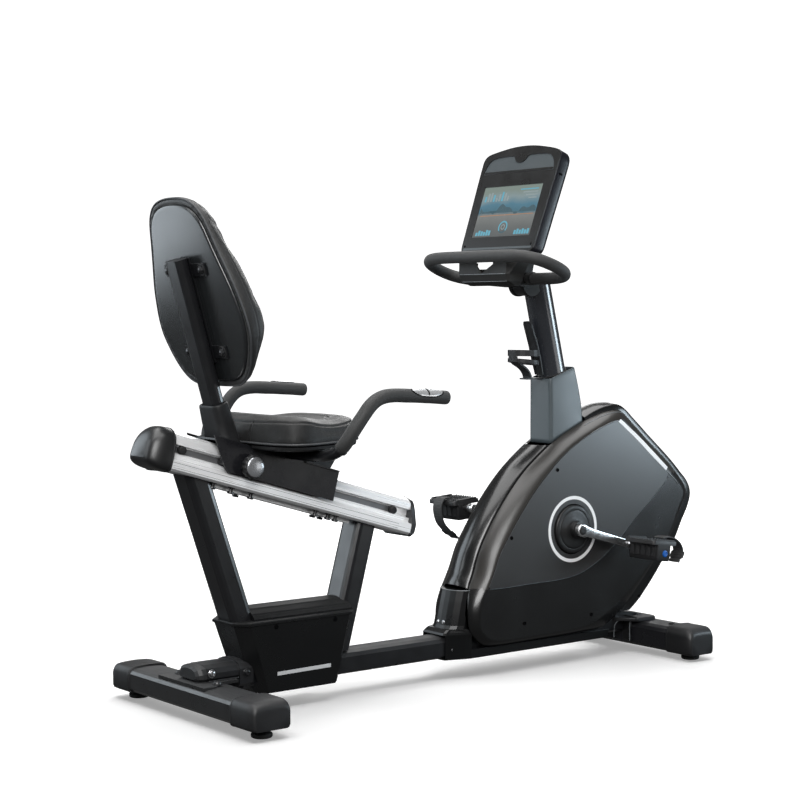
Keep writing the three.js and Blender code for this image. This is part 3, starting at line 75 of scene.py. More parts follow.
def make_mat(name, base, rough, metal=0.0, spec=0.5, coat=0.0, coat_rough=0.05, sheen=0.0, grain=(), cells=(), var=0.0, var_scale=6.0,
             rvar=0.06, rscale=40.0, edge=0.0, stretch=(1, 1, 1), turn=(0, 0, 0), dust=0.0, aniso=0.0, up=0.0):
    """grain: (scale, strength, distance) noise bumps; cells: the same with a cell pattern; edge: how much lighter
    convex edges are painted, a painted highlight.
    """
    m = bpy.data.materials.new(name)
    m.use_nodes = True
    nt = m.node_tree
    nt.nodes.clear()
    out = _n(nt, 'ShaderNodeOutputMaterial', 900)
    b = _n(nt, 'ShaderNodeBsdfPrincipled', 600)
    nt.links.new(b.outputs[0], out.inputs[0])
    b.inputs['Metallic'].default_value = metal
    b.inputs['Specular IOR Level'].default_value = spec
    b.inputs['Coat Weight'].default_value = coat
    b.inputs['Coat Roughness'].default_value = coat_rough
    b.inputs['Sheen Weight'].default_value = sheen
    b.inputs['Anisotropic'].default_value = aniso
    tc = _n(nt, 'ShaderNodeTexCoord', -1200)
    mp = _n(nt, 'ShaderNodeMapping', -1000)
    mp.inputs['Scale'].default_value = stretch
    mp.inputs['Rotation'].default_value = turn
    nt.links.new(tc.outputs['Object'], mp.inputs['Vector'])
    # colour: broad tone variation, then convex edges painted lighter as a painted highlight, then dust on what faces up
    big = _n(nt, 'ShaderNodeTexNoise', -800, 300)
    big.inputs['Scale'].default_value = var_scale
    big.inputs['Detail'].default_value = 5.0
    nt.links.new(tc.outputs['Object'], big.inputs['Vector'])
    ramp = _n(nt, 'ShaderNodeValToRGB', -560, 300)
    lo = [max(c * (1 - var), 0) for c in base]
    hi = [min(c * (1 + var), 1) for c in base]
    ramp.color_ramp.elements[0].position = 0.3
    ramp.color_ramp.elements[1].position = 0.7
    ramp.color_ramp.elements[0].color = (*lo, 1)
    ramp.color_ramp.elements[1].color = (*hi, 1)
    nt.links.new(big.outputs['Fac'], ramp.inputs['Fac'])
    col = ramp.outputs['Color']
    # painted highlight: convex edges, found by pointiness, are painted lighter
    if edge > 0:
        g = _n(nt, 'ShaderNodeNewGeometry', -800, 620)
        edge_highlight_ramp = _n(nt, 'ShaderNodeValToRGB', -560, 620)
        edge_highlight_ramp.color_ramp.elements[0].position = 0.52
        edge_highlight_ramp.color_ramp.elements[1].position = 0.60
        edge_highlight_ramp.color_ramp.elements[0].color = (0, 0, 0, 1)
        edge_highlight_ramp.color_ramp.elements[1].color = (edge, edge, edge, 1)
        nt.links.new(g.outputs['Pointiness'], edge_highlight_ramp.inputs['Fac'])
        edge_highlight_mix = _n(nt, 'ShaderNodeMix', -300, 400, data_type='RGBA')
        edge_highlight_mix.inputs[7].default_value = (min(base[0] * 3 + .05, 1), min(base[1] * 3 + .05, 1), min(base[2] * 3 + .05, 1), 1)
        nt.links.new(edge_highlight_ramp.outputs['Color'], edge_highlight_mix.inputs[0])
        nt.links.new(col, edge_highlight_mix.inputs[6])
        col = edge_highlight_mix.outputs[2]
    if dust > 0:
        g2 = _n(nt, 'ShaderNodeNewGeometry', -800, 900)
        sx = _n(nt, 'ShaderNodeSeparateXYZ', -640, 900)
        nt.links.new(g2.outputs['Normal'], sx.inputs[0])
        dn = _n(nt, 'ShaderNodeTexNoise', -800, 1100)
        dn.inputs['Scale'].default_value = 90.0
        dn.inputs['Detail'].default_value = 6.0
        nt.links.new(tc.outputs['Object'], dn.inputs['Vector'])
        mm = _n(nt, 'ShaderNodeMath', -480, 900, operation='MULTIPLY', use_clamp=True)
        nt.links.new(sx.outputs['Z'], mm.inputs[0]); nt.links.new(dn.outputs['Fac'], mm.inputs[1])
        m3 = _n(nt, 'ShaderNodeMath', -320, 900, operation='MULTIPLY', use_clamp=True)
        m3.inputs[1].default_value = dust
        nt.links.new(mm.outputs[0], m3.inputs[0])
        mx2 = _n(nt, 'ShaderNodeMix', -100, 500, data_type='RGBA')
        mx2.inputs[7].default_value = (0.22, 0.21, 0.2, 1)
        nt.links.new(m3.outputs[0], mx2.inputs[0])
        nt.links.new(col, mx2.inputs[6])
        col = mx2.outputs[2]
    nt.links.new(col, b.inputs['Base Color'])
    # roughness
    rn = _n(nt, 'ShaderNodeTexNoise', -800, 0)
    rn.inputs['Scale'].default_value = rscale
    rn.inputs['Detail'].default_value = 6.0
    nt.links.new(mp.outputs[0], rn.inputs['Vector'])
    mr = _n(nt, 'ShaderNodeMapRange', -560, 0)
    mr.inputs['From Min'].default_value = 0.3
    mr.inputs['From Max'].default_value = 0.7
    mr.inputs['To Min'].default_value = max(rough - rvar, 0.02)
    mr.inputs['To Max'].default_value = min(rough + rvar, 1.0)
    nt.links.new(rn.outputs['Fac'], mr.inputs['Value'])
    rough_out = mr.outputs[0]
    if up > 0:          # settled dust makes upward faces rougher
        g3 = _n(nt, 'ShaderNodeNewGeometry', -800, 1300)
        s3 = _n(nt, 'ShaderNodeSeparateXYZ', -640, 1300)
        nt.links.new(g3.outputs['Normal'], s3.inputs[0])
        ma = _n(nt, 'ShaderNodeMapRange', -480, 1300)
        ma.inputs['From Min'].default_value = .25
        ma.inputs['From Max'].default_value = .95
        ma.inputs['To Min'].default_value = 0.0
        ma.inputs['To Max'].default_value = up
        nt.links.new(s3.outputs['Z'], ma.inputs['Value'])
        ad = _n(nt, 'ShaderNodeMath', -320, 1300, operation='ADD', use_clamp=True)
        nt.links.new(mr.outputs[0], ad.inputs[0]); nt.links.new(ma.outputs[0], ad.inputs[1])
        rough_out = ad.outputs[0]
        c3 = _n(nt, 'ShaderNodeMapRange', -320, 1500)
        c3.inputs['From Min'].default_value = .25
        c3.inputs['From Max'].default_value = .95
        c3.inputs['To Min'].default_value = coat
        c3.inputs['To Max'].default_value = coat * .15
        nt.links.new(s3.outputs['Z'], c3.inputs['Value'])
        nt.links.new(c3.outputs[0], b.inputs['Coat Weight'])
    nt.links.new(rough_out, b.inputs['Roughness'])
    # bump chain
    prev = None
    x = -300
    for i, (sc, st, dist) in enumerate(grain):
        t = _n(nt, 'ShaderNodeTexNoise', -800, -300 - i * 260)
        t.inputs['Scale'].default_value = sc
        t.inputs['Detail'].default_value = 3.0
        nt.links.new(mp.outputs[0], t.inputs['Vector'])
        bp = _n(nt, 'ShaderNodeBump', x, -300 - i * 60)
        bp.inputs['Strength'].default_value = st
        bp.inputs['Distance'].default_value = dist
        nt.links.new(t.outputs['Fac'], bp.inputs['Height'])
        if prev: nt.links.new(prev, bp.inputs['Normal'])
        prev = bp.outputs[0]; x += 160
    for i, (sc, st, dist) in enumerate(cells):
        t = _n(nt, 'ShaderNodeTexVoronoi', -800, -1000 - i * 260, feature='DISTANCE_TO_EDGE')
        t.inputs['Scale'].default_value = sc
        nt.links.new(mp.outputs[0], t.inputs['Vector'])
        cr = _n(nt, 'ShaderNodeMapRange', -560, -1000 - i * 260)
        cr.inputs['From Max'].default_value = 0.22
        nt.links.new(t.outputs['Distance'], cr.inputs['Value'])
        bp = _n(nt, 'ShaderNodeBump', x, -300 - i * 60)
        bp.inputs['Strength'].default_value = st
        bp.inputs['Distance'].default_value = dist
        nt.links.new(cr.outputs[0], bp.inputs['Height'])
        if prev: nt.links.new(prev, bp.inputs['Normal'])
        prev = bp.outputs[0]; x += 160
    if prev:
        nt.links.new(prev, b.inputs['Normal'])
    MATS[name] = m
    return m

PAINT = make_mat('paint_black', (.0072, .0076, .0088), .32, spec=.5, coat=.25, coat_rough=.16, up=.35, grain=((420, .10, .0006), (2600, .10, .0002)), var=.08, rvar=.05, rscale=24, edge=.05, dust=.02)
PLASTIC = make_mat('plastic_black', (.0125, .0128, .0138), .50, grain=((1500, .22, .0003), (300, .05, .0005)), var=.12, rvar=.06, rscale=30, edge=.05, dust=.03)
SHELL = make_mat('shell_satin', (.0225, .0225, .0230), .34, spec=.55, coat=.25, coat_rough=.24, grain=((900, .05, .0002), (7, .01, .002)), var=.06, var_scale=3, rvar=.03, rscale=8, dust=.012)
SHELLR = make_mat('shell_rim', (.0270, .0250, .0228), .33, spec=.5, coat=.2, coat_rough=.22, grain=((900, .05, .0002), (7, .01, .002)), var=.08, var_scale=3, rvar=.04, rscale=8, dust=.012)
GLOSS = make_mat('gloss_black', (.0055, .0058, .0061), .26, spec=.36, coat=.16, coat_rough=.15, up=.40, grain=((9, .008, .002), (1200, .02, .0002)), var=.08, rvar=.03, rscale=10, dust=.012)
GLOSSG = make_mat('gloss_dark_grey', (.0070, .0072, .0073), .25, spec=.5, coat=.35, coat_rough=.13, grain=((9, .008, .002), (1300, .02, .0002)), var=.08, rvar=.03, rscale=10, dust=.012)
GREY = make_mat('sleeve_grey', (.066, .082, .090), .38, spec=.5, coat=.10, coat_rough=.3, grain=((1100, .10, .0002),), var=.06, var_scale=4, rvar=.05, rscale=16, edge=.1, dust=.04)
PANEL = make_mat('back_panel_grey', (.0150, .0165, .0175), .24, spec=.72, coat=.2, coat_rough=.2, grain=((1000, .05, .0002), (6, .01, .002)), var=.06, var_scale=4, rvar=.03, rscale=8, dust=.012)
ALU = make_mat('rail_alloy', (.92, .925, .93), .30, metal=.38, spec=.6, grain=((7, .035, .0003),), var=.03, rvar=.05, rscale=7, stretch=(1.25, 1 / 60, 1 / 60), turn=(0, RAIL_A, 0))
for _q in ALU.node_tree.nodes:          # drawn lines run along the sloping rail
    if _q.bl_idname == 'ShaderNodeMapping': _q.vector_type = 'TEXTURE'
CHROME = make_mat('bright_chrome', (.78, .79, .81), .10, metal=1.0, grain=((14, .04, .001),), var=.04, rvar=.04, rscale=60)
STEEL = make_mat('zinc_steel', (.50, .50, .51), .30, metal=1.0, grain=((700, .10, .0002),), var=.08, rvar=.08, rscale=120)
RUBBER = make_mat('soft_rubber', (.0150, .0150, .0155), .78, spec=.35, grain=((900, .22, .0003),), var=.14, rvar=.07, rscale=50, dust=.12)
FOAM = make_mat('grip_foam', (.027, .0275, .0275), .64, spec=.45, sheen=.12, grain=((2400, .30, .0003), (350, .06, .0006)), cells=((1400, .10, .0002),), var=.10, rvar=.05, rscale=60)
VINYL = make_mat('cushion_vinyl', (.0100, .0102, .0103), .47, spec=.5, sheen=.10, grain=((60, .10, .002),), cells=((620, .32, .0004), (1500, .12, .0002)), var=.10, var_scale=9, rvar=.06, rscale=22)
PIPING = make_mat('seam_piping', (.050, .052, .055), .55, spec=.5, grain=((1600, .25, .0003),), var=.1)
WHITE = make_mat('white_print', (.90, .90, .90), .38, spec=.5, grain=((700, .05, .0002),), var=.03, rvar=.05)
SILVER = make_mat('silver_plastic', (.46, .47, .49), .26, metal=.75, grain=((500, .06, .0002),), var=.05, rvar=.06, rscale=60)
ENDC = make_mat('cover_satin', (.0105, .0108, .0112), .36, spec=.5, coat=.2, coat_rough=.3, grain=((1200, .06, .0002),), var=.08, rvar=.05, rscale=18, dust=.02)
RAILD = make_mat('rail_shadow', (.15, .153, .158), .40, metal=.4, grain=((900, .08, .0002),), var=.12, rvar=.08, rscale=60)
SENS = make_mat('sensor_bright', (.80, .81, .82), .20, metal=.7, grain=((800, .04, .0002),), var=.04, rvar=.05, rscale=60)
# painted highlight: a light grey for thin lines laid along edges where they catch light
PAINTED_HIGHLIGHT = make_mat('painted_highlight_line', (.20, .215, .225), .30, metal=.3, spec=.6, coat=.3, grain=((700, .04, .0002),), var=.05, rvar=.05)
OXIDE = make_mat('black_oxide', (.09, .09, .095), .24, metal=.9, grain=((700, .08, .0002),), var=.08, rvar=.06, rscale=120)
CARR = make_mat('carriage_paint', (.0050, .0051, .0066), .26, spec=.22, coat=.10, coat_rough=.14, up=.3, grain=((420, .06, .0004), (2600, .06, .0002)), var=.1, rvar=.06, rscale=24, edge=.12, dust=.02)
ARMC = make_mat('satin_chrome', (.80, .81, .82), .18, metal=.95, grain=((14, .04, .001),), var=.04, rvar=.05, rscale=60)
TRAYM = make_mat('tray_satin', (.0145, .0145, .0140), .48, spec=.14, coat=.0, coat_rough=.25, grain=((900, .08, .0002), (12, .05, .002)), var=.1, rvar=.06, rscale=20, edge=.3, dust=.04)
STRIP = make_mat('strip_silver', (.72, .73, .74), .28, metal=.25, spec=.6, coat=.3, grain=((700, .04, .0002),), var=.03, rvar=.04)
STRAPM = make_mat('strap_rubber', (.040, .041, .042), .62, spec=.4, grain=((900, .22, .0003),), var=.14, rvar=.07, rscale=50, dust=.12)
DISC = make_mat('disc_black', (.0085, .0088, .0092), .42, spec=.45, grain=((1100, .10, .0002),), var=.1, rvar=.06, rscale=40, dust=.05)
BLUE = make_mat('blue_plastic', (.010, .105, .42), .34, spec=.5, grain=((900, .08, .0002),), var=.08)
DARK = make_mat('deep_black', (.0012, .0012, .0014), .70, spec=.05, grain=((900, .10, .0002),), var=.1)
IRON = make_mat('dark_iron', (.11, .11, .115), .42, metal=.8, grain=((300, .12, .0004),), var=.15, rvar=.1)
GLASSY = make_mat('screen_glass', (.006, .007, .009), .07, spec=.6, coat=.6, coat_rough=.03, grain=((5, .02, .002),), var=.05, rvar=.02)

# ------------------------------------------------------------------ geometry helpers (mm in, metres out)
def new_obj(name, verts, faces, mat, body, rep=(), angle=35, bevel=None, sub=0, solid=None, sharp=(), mats=None, fmat=None, wn=True, hold=None):
    me = bpy.data.meshes.new(name)
    me.from_pydata([W(v) for v in verts], [], [tuple(f) for f in faces])
    me.validate(clean_customdata=False)
    bm = bmesh.new(); bm.from_mesh(me)
    bmesh.ops.remove_doubles(bm, verts=bm.verts, dist=1e-6)
    if len(bm.faces):
        bmesh.ops.recalc_face_normals(bm, faces=bm.faces)
    bm.to_mesh(me); bm.free()
    ob = bpy.data.objects.new(name, me)
    coll.objects.link(ob)
    for m in (mats or [mat]):
        me.materials.append(m)
    if fmat is not None:
        me.polygons.foreach_set('material_index', fmat)
    finish_mesh(ob, angle)
    if solid:
        s = ob.modifiers.new('solid', 'SOLIDIFY'); s.thickness = solid / 1000.0; s.offset = -1; s.use_even_offset = True
    if bevel:
        add_bevel(ob, *bevel)
    if sub:
        s = ob.modifiers.new('sub', 'SUBSURF'); s.levels = sub; s.render_levels = sub
    if body:
        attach(ob, body)
    if rep:
        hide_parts(*rep)
    return ob

def finish_mesh(ob, angle):
    me = ob.data
    me.polygons.foreach_set('use_smooth', [True] * len(me.polygons))
    if angle is not None and angle < 180:
        me.set_sharp_from_angle(angle=math.radians(angle))
    me.update()

def add_bevel(ob, width, seg=2, angle=30, profile=.5):
    b = ob.modifiers.new('bevel', 'BEVEL')
    b.width = width / 1000.0; b.segments = seg; b.limit_method = 'ANGLE'; b.angle_limit = math.radians(angle)
    b.profile = profile; b.miter_outer = 'MITER_ARC'; b.use_clamp_overlap = True; b.harden_normals = True
    return b

def loft(rings, closed=False, cap=True, cap0=True, cap1=True):
    N, K = len(rings[0]), len(rings)
    v = [tuple(p) for r in rings for p in r]
    f = []
    for k in range(K if closed else K - 1):
        a, b = k * N, ((k + 1) % K) * N
        for i in range(N):
            j = (i + 1) % N
            f.append((a + i, a + j, b + j, b + i))
    if not closed and cap:
        if cap0: f.append(tuple(range(N - 1, -1, -1)))
        if cap1: f.append(tuple(range((K - 1) * N, K * N)))
    return v, f

def merge(*parts):
    V, F = [], []
    for v, f in parts:
        o = len(V); V += list(v); F += [tuple(i + o for i in q) for q in f]
    return V, F

def crom(pts, per=6, closed=False, alpha=.5):
    """centripetal Catmull-Rom through points of any dimension, per samples a span"""
    P = [np.array(p, float) for p in pts]; n = len(P); out = []
    dim = min(3, len(P[0]))
    if not closed:
        P = [2 * P[0] - P[1]] + P + [2 * P[-1] - P[-2]]
        spans = range(1, n)
    else:
        spans = range(n)
    for i in spans:
        if closed: p0, p1, p2, p3 = P[(i - 1) % n], P[i], P[(i + 1) % n], P[(i + 2) % n]
        else: p0, p1, p2, p3 = P[i - 1], P[i], P[i + 1], P[i + 2]
        d = lambda a, b: max(np.linalg.norm((b - a)[:dim]) ** alpha, 1e-6)
        t0 = 0; t1 = t0 + d(p0, p1); t2 = t1 + d(p1, p2); t3 = t2 + d(p2, p3)
        for k in range(per):
            t = t1 + (t2 - t1) * k / per
            A1 = (t1 - t) / (t1 - t0) * p0 + (t - t0) / (t1 - t0) * p1
            A2 = (t2 - t) / (t2 - t1) * p1 + (t - t1) / (t2 - t1) * p2
            A3 = (t3 - t) / (t3 - t2) * p2 + (t - t2) / (t3 - t2) * p3
            B1 = (t2 - t) / (t2 - t0) * A1 + (t - t0) / (t2 - t0) * A2
            B2 = (t3 - t) / (t3 - t1) * A2 + (t - t1) / (t3 - t1) * A3
            out.append((t2 - t) / (t2 - t1) * B1 + (t - t1) / (t2 - t1) * B2)
    if not closed: out.append(P[-2])
    return out

def spaced(pts, n, closed=False):
    """n + 1 points (n when closed) evenly along a polyline"""
    P = np.array(pts, float)
    if closed: P = np.vstack([P, P[:1]])
    d = np.r_[0, np.cumsum(np.linalg.norm(np.diff(P[:, :3], axis=0), axis=1))]
    t = np.linspace(0, d[-1], n + 1)
    out = np.stack([np.interp(t, d, P[:, k]) for k in range(P.shape[1])], 1)
    return [tuple(q) for q in (out[:-1] if closed else out)]

def smooth_path(pts, n, closed=False, per=12):
    return spaced(crom(pts, per, closed), n, closed)

def basis(d):
    t = Vector(d).normalized()
    u = Vector((0, 0, 1)) if abs(t.z) < .9 else Vector((1, 0, 0))
    a = (u - t * u.dot(t)).normalized()
    return t, a, t.cross(a)

def circle(c, d, r, n, ph=0.0, k2=1.0):
    t, a, b = basis(d); out = []
    for i in range(n):
        w = 2 * math.pi * (i + ph) / n
        q = Vector(c) + a * math.cos(w) * r + b * math.sin(w) * r * k2
        out.append(tuple(q))
    return out

def turn(c, d, prof, n=48, closed=False):
    t = Vector(d).normalized()
    rings = [circle(tuple(Vector(c) + t * h), d, max(r, .05), n) for r, h in prof]
    return loft(rings, closed)

def tube(pts, r, n=20, up=(0, 1, 0), closed=False, cap=True):
    """ring carried along the path without twist; r may be a function of the 0..1 position"""
    K = len(pts); V = [Vector(p) for p in pts]; rings = []
    e = Vector(up)
    for k in range(K):
        a = V[(k - 1) % K] if closed else V[max(k - 1, 0)]
        b = V[(k + 1) % K] if closed else V[min(k + 1, K - 1)]
        t = (b - a).normalized()
        if closed: e = Vector(up)
        e = (e - t * e.dot(t)).normalized()
        f = t.cross(e)
        R = r(k / (K - 1)) if callable(r) else r
        rings.append([tuple(V[k] + e * math.cos(2 * math.pi * i / n) * R + f * math.sin(2 * math.pi * i / n) * R) for i in range(n)])
    return loft(rings, closed, cap)

def strap(pts, side, w, t, round_=0.0):
    K = len(pts); S = Vector(side).normalized(); rings = []
    for k in range(K):
        d = (Vector(pts[min(k + 1, K - 1)]) - Vector(pts[max(k - 1, 0)])).normalized()
        nn = d.cross(S).normalized(); ww = w(k / (K - 1)) if callable(w) else w
        rings.append([tuple(Vector(pts[k]) + S * a * ww / 2 + nn * b * t / 2) for a, b in ((-1, -1), (1, -1), (1, 1), (-1, 1))])
    return loft(rings)

def boxm(x0, x1, y0, y1, z0, z1):
    return loft([[(x0, y0, z0), (x1, y0, z0), (x1, y1, z0), (x0, y1, z0)], [(x0, y0, z1), (x1, y0, z1), (x1, y1, z1), (x0, y1, z1)]])

def prism(poly, y0, y1):
    """poly of (x, z)"""
    return loft([[(x, y0, z) for x, z in poly], [(x, y1, z) for x, z in poly]])

def mirror(vf):
    v, f = vf
    return [(x, -y, z) for x, y, z in v], [tuple(reversed(q)) for q in f]

def apply_mods(ob):
    dg = bpy.context.evaluated_depsgraph_get()
    me = bpy.data.meshes.new_from_object(ob.evaluated_get(dg), preserve_all_data_layers=True, depsgraph=dg)
    old = ob.data
    ob.modifiers.clear(); ob.data = me
    bpy.data.meshes.remove(old)
    return ob

def bolt(name, c, d, r, h, mat, body, n=6, washer=0.0, wmat=None):
    """domed hexagon or round bolt head standing on c along d"""
    parts = []
    if washer: parts.append(turn(c, d, [(washer * .35, 0), (washer, 0), (washer, h * .14), (washer - .6, h * .22), (r * .8, h * .22)], 28))
    t = Vector(d).normalized(); c2 = tuple(Vector(c) + t * h * .18)
    if n == 6:
        parts.append(turn(c2, d, [(r * .4, 0), (r, 0), (r, h * .62), (r * .86, h * .8), (r * .5, h * .82)], 6))
    else:
        parts.append(turn(c2, d, [(r * .4, 0), (r, 0), (r * .97, h * .3), (r * .8, h * .62), (r * .46, h * .8), (r * .42, h * .5), (r * .1, h * .46)], 28))
    v, f = merge(*parts)
    return new_obj(name, v, f, mat, body, angle=32)

# the CAD nodes that keep their shape get a material, soft edges and smooth curves
def dress(node, mat, bevel=1.0, seg=2, ang=38, bang=40):
    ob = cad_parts[node]
    ob.data.materials.clear(); ob.data.materials.append(mat)
    finish_mesh(ob, ang)
    if bevel:
        add_bevel(ob, bevel, seg, bang)
    return ob

# ------------------------------------------------------------------ floor bars, caps, feet, wheels
BARM = make_mat('bar_paint', (.0105, .0110, .0118), .30, spec=.75, coat=.45, coat_rough=.16, up=.35, grain=((420, .10, .0006), (2600, .10, .0002)), var=.08, rvar=.05, rscale=24, edge=.05, dust=.02)
dress('rear_foot_bar', BARM, 1.4, 3)
dress('front_foot_bar', CARR, 1.4, 3)
for n in ('rear_leg', 'front_leg'):
    dress(n, PAINT, .8, 2, 40, 50)
dress('main_beam', PAINT, 1.0, 2)
dress('base_cover', GLOSS, 1.6, 3, 42, 24)
dress('beam_end_cap', PLASTIC, .8, 2, 80, 75)
dress('seat_carriage', CARR, .8, 3)
dress('seat_rail', ALU, .7, 2, 24, 20)
for n in ('glide_block_left', 'glide_block_right'):
    dress(n, PLASTIC, .8, 2)
dress('seat_pan', PLASTIC, 1.2, 3, 40, 30)
dress('back_post', PAINT, 1.0, 2, 45, 50)
dress('brake_magnet', IRON, .6, 2)
dress('drive_belt', RUBBER, .3, 1)
dress('flywheel', IRON, .8, 2)
dress('drive_pulley', PLASTIC, .8, 2)
dress('crank_axle', STEEL, .6, 2)

CAPF = make_mat('cap_satin', (.0095, .0098, .0108), .44, spec=.5, coat=.10, coat_rough=.3, up=.35, grain=((1500, .14, .0003),), var=.10, rvar=.05, rscale=30, edge=.05, dust=.02)
def foot_cap(tag, xc, hw, z0, zs, zt, y0, y1, s, footy):
    half = [(0, z0), (hw - 8, z0), (hw - 2.6, z0 + 2.6), (hw, z0 + 9), (hw, zs - 4), (hw - 1.6, zs + 2), (hw - 5, zs + (zt - zs) * .55), (hw * .82, zt - 3.2), (hw * .66, zt - 1.4), (hw * .3, zt - .1), (0, zt + .4)]
    def ring(y, i, k=1.0):
        h = [(x * (1 - i / hw), z0 + (z - z0) * k) for x, z in half]
        full = h + [(-x, z) for x, z in reversed(h) if abs(x) > 1e-6]
        return [(xc + x, s * y, z) for x, z in full]
    span = y1 - y0
    rings = [ring(y0, 1.2, .985), ring(y0 + 1.0, .2, .997), ring(y0 + 3, 0), ring(y0 + span * .5, 0), ring(y0 + span * .60, .1, .998)]
    for t in (.70, .78, .85, .90, .94, .97, .99, 1.0):
        q = (t - .60) / .40
        e = 1 - math.sqrt(max(1 - q ** 2.6, 0))
        rings.append(ring(y0 + span * t - (.0 if t < 1 else .4), e * 11, 1 - e * .30))
    v, f = loft(rings)
    new_obj(tag, v, f, CAPF if 'front' in tag else PLASTIC, 'frame', rep=(tag.replace('skin_', ''),), angle=50, bevel=None)
    # shallow rib line round the mouth of the cap
    rr = [(x, y + s * 5.5, z) for x, y, z in ring(y0, -.25)]
    v, f = tube(spaced(rr, 90, True), .55, 6, (0, 1, 0), True)
    new_obj('cap_line_' + tag, v, f, PLASTIC, 'frame', angle=None)

for s, n in ((1, 'left'), (-1, 'right')):
    foot_cap('skin_rear_foot_cap_' + n, 0, 52, 22, 68, 84, 211.4, 299, s, 256)
    foot_cap('skin_front_foot_cap_' + n, 1342, 48, 16, 68, 86, 186.4, 271, s, 229)
    for tag, x, y in (('rear', 0, 256), ('front', 1342, 229)):
        c = (x, s * y, 0)
        prof = [(19.5, 0), (20.5, .4), (22.2, 1.4), (23, 3), (23, 8), (22.4, 9.6), (20.5, 11), (19, 12), (13, 12.6), (9.5, 13.5), (9.5, 18), (9, 18.6), (5, 19), (5, 40)]
        v, f = turn(c, (0, 0, 1), prof, 56)
        # grip notches round the adjusting wheel
        parts = [(v, f)]
        for k in range(20):
            w = 2 * math.pi * k / 20
            parts.append(tube([(x + math.cos(w) * 22.6, s * y + math.sin(w) * 22.6, 3.2), (x + math.cos(w) * 22.6, s * y + math.sin(w) * 22.6, 8.2)], .7, 6, (1, 0, 0)))
        v, f = merge(*parts)
        new_obj(f'pad_{tag}_{n}', v, f, RUBBER, f'foot_{tag}_{n}', rep=(f'levelling_foot_{tag}_{n}',), angle=34)
    # transport wheel with a tread groove and a moulded hub
    c = (1414, s * 150, 36)
    prof = [(5.6, -11.4), (9, -11.4), (11.4, -11), (12, -10), (13.5, -8.6), (20.5, -8.6), (22.2, -9.2), (24, -8.6), (25, -6.6), (25, -1.6), (24.2, -.8), (24.2, .8), (25, 1.6), (25, 6.6), (24, 8.6), (22.2, 9.2), (20.5, 8.6), (13.5, 8.6), (12, 10), (11.4, 11), (9, 11.4), (5.6, 11.4)]
    v, f = turn(c, (0, 1, 0), prof, 64, True)
    new_obj('wheel_tyre_' + n, v, f, RUBBER, 'wheel_' + n, rep=('transport_wheel_' + n,), angle=34)
    for q in (-1, 1):
        bolt(f'wheel_nut_{n}_{"ab"[(q + 1) // 2]}', (1414, s * 150 + q * 16.6, 36), (0, q, 0), 6.5, 5.5, STEEL, 'frame', 6, 8)

# domed bolts on the rear saddle plate, cap-head bolts at the joints
for i, (x, y) in enumerate(((3, 78), (3, -78))):
    bolt(f'saddle_bolt_{i}', (x, y, 82.5), (0, 0, 1), 9.3, 8.0, PAINT, 'frame', 24, 12)
for i, (x, y) in enumerate(((1336, 52), (1336, -52))):
    bolt(f'front_saddle_bolt_{i}', (x, y, 91.0), (0, 0, 1), 7.0, 4.2, PAINT, 'frame', 24, 9.0)
# rolled edge over the folded ears of the front saddle
for sg in (1, -1):
    e = [(1293.4, sg * y, 91.6 - 3.0 * abs(y - 38) / 60) for y in np.linspace(8, 86, 30)]
    v, f = tube(e, 4.0, 12, (0, 0, 1))
    new_obj(f'saddle_fold_{"lr"[sg < 0]}', v, f, GLOSS, 'frame', angle=None)
    v, f = loft([[(x, sg * y, z) for y, z in ((40 + i, 30 + i), (64 - i, 30 + i), (66 - i, 34), (66 - i, 84), (60 - i, 92 - i), (38 + i, 93 - i))] for x, i in ((1288.2, 1.4), (1287.0, 2.6), (1286.6, 4.0))])
    new_obj(f'saddle_ear_{"lr"[sg < 0]}', v, f, GLOSS, 'frame', angle=40, bevel=(.5, 2))
    # light lines along the ears' edges: painted highlights
    for k, e in enumerate(([(1286.6, 66.2, 29), (1286.4, 66.2, 50), (1286.4, 66.6, 74), (1287.6, 68.2, 85), (1291.0, 71.5, 91.0)],
                           [(1256, 38.9, 38), (1256, 39.1, 56), (1257.4, 40.2, 70), (1262, 43.5, 79), (1270, 48, 83.6)])):
        e = crom([(x, sg * y, z) for x, y, z in e], 8)
        v, f = tube(e, 1.25, 10, (0, 1, 0))
        new_obj(f'saddle_edge_{"lr"[sg < 0]}_{k}', v, f, PAINTED_HIGHLIGHT, 'frame', angle=None)
    bolt(f'foot_screw_{"lr"[sg < 0]}', (1336.5, sg * 169, 82.0), (0, 0, 1), 7.6, 4.0, GLOSS, 'frame', 24, 9.6)
for i, (x, y, z, d) in enumerate(((10, -45.2, 100, (0, -1, 0)), (10, 45.2, 100, (0, 1, 0)), (100, -47.7, 92, (0, -1, 0)), (100, 47.7, 92, (0, 1, 0)))):
    bolt(f'collar_bolt_{i}', (x, y, z), d, 7.2, 6.0, STEEL if i < 2 else PAINT, 'frame', 24, 9.5)
# weld bead where the bracket meets the saddle plate
for s in (1, -1):
    pts = [(x, s * 45.6 + .3 * math.sin(x * 1.7), 83.2) for x in np.linspace(2, 80, 60)]
    v, f = tube(pts, 1.8, 8)
    new_obj(f'weld_rear_{"lr"[s < 0]}', v, f, PAINT, 'frame', angle=None)

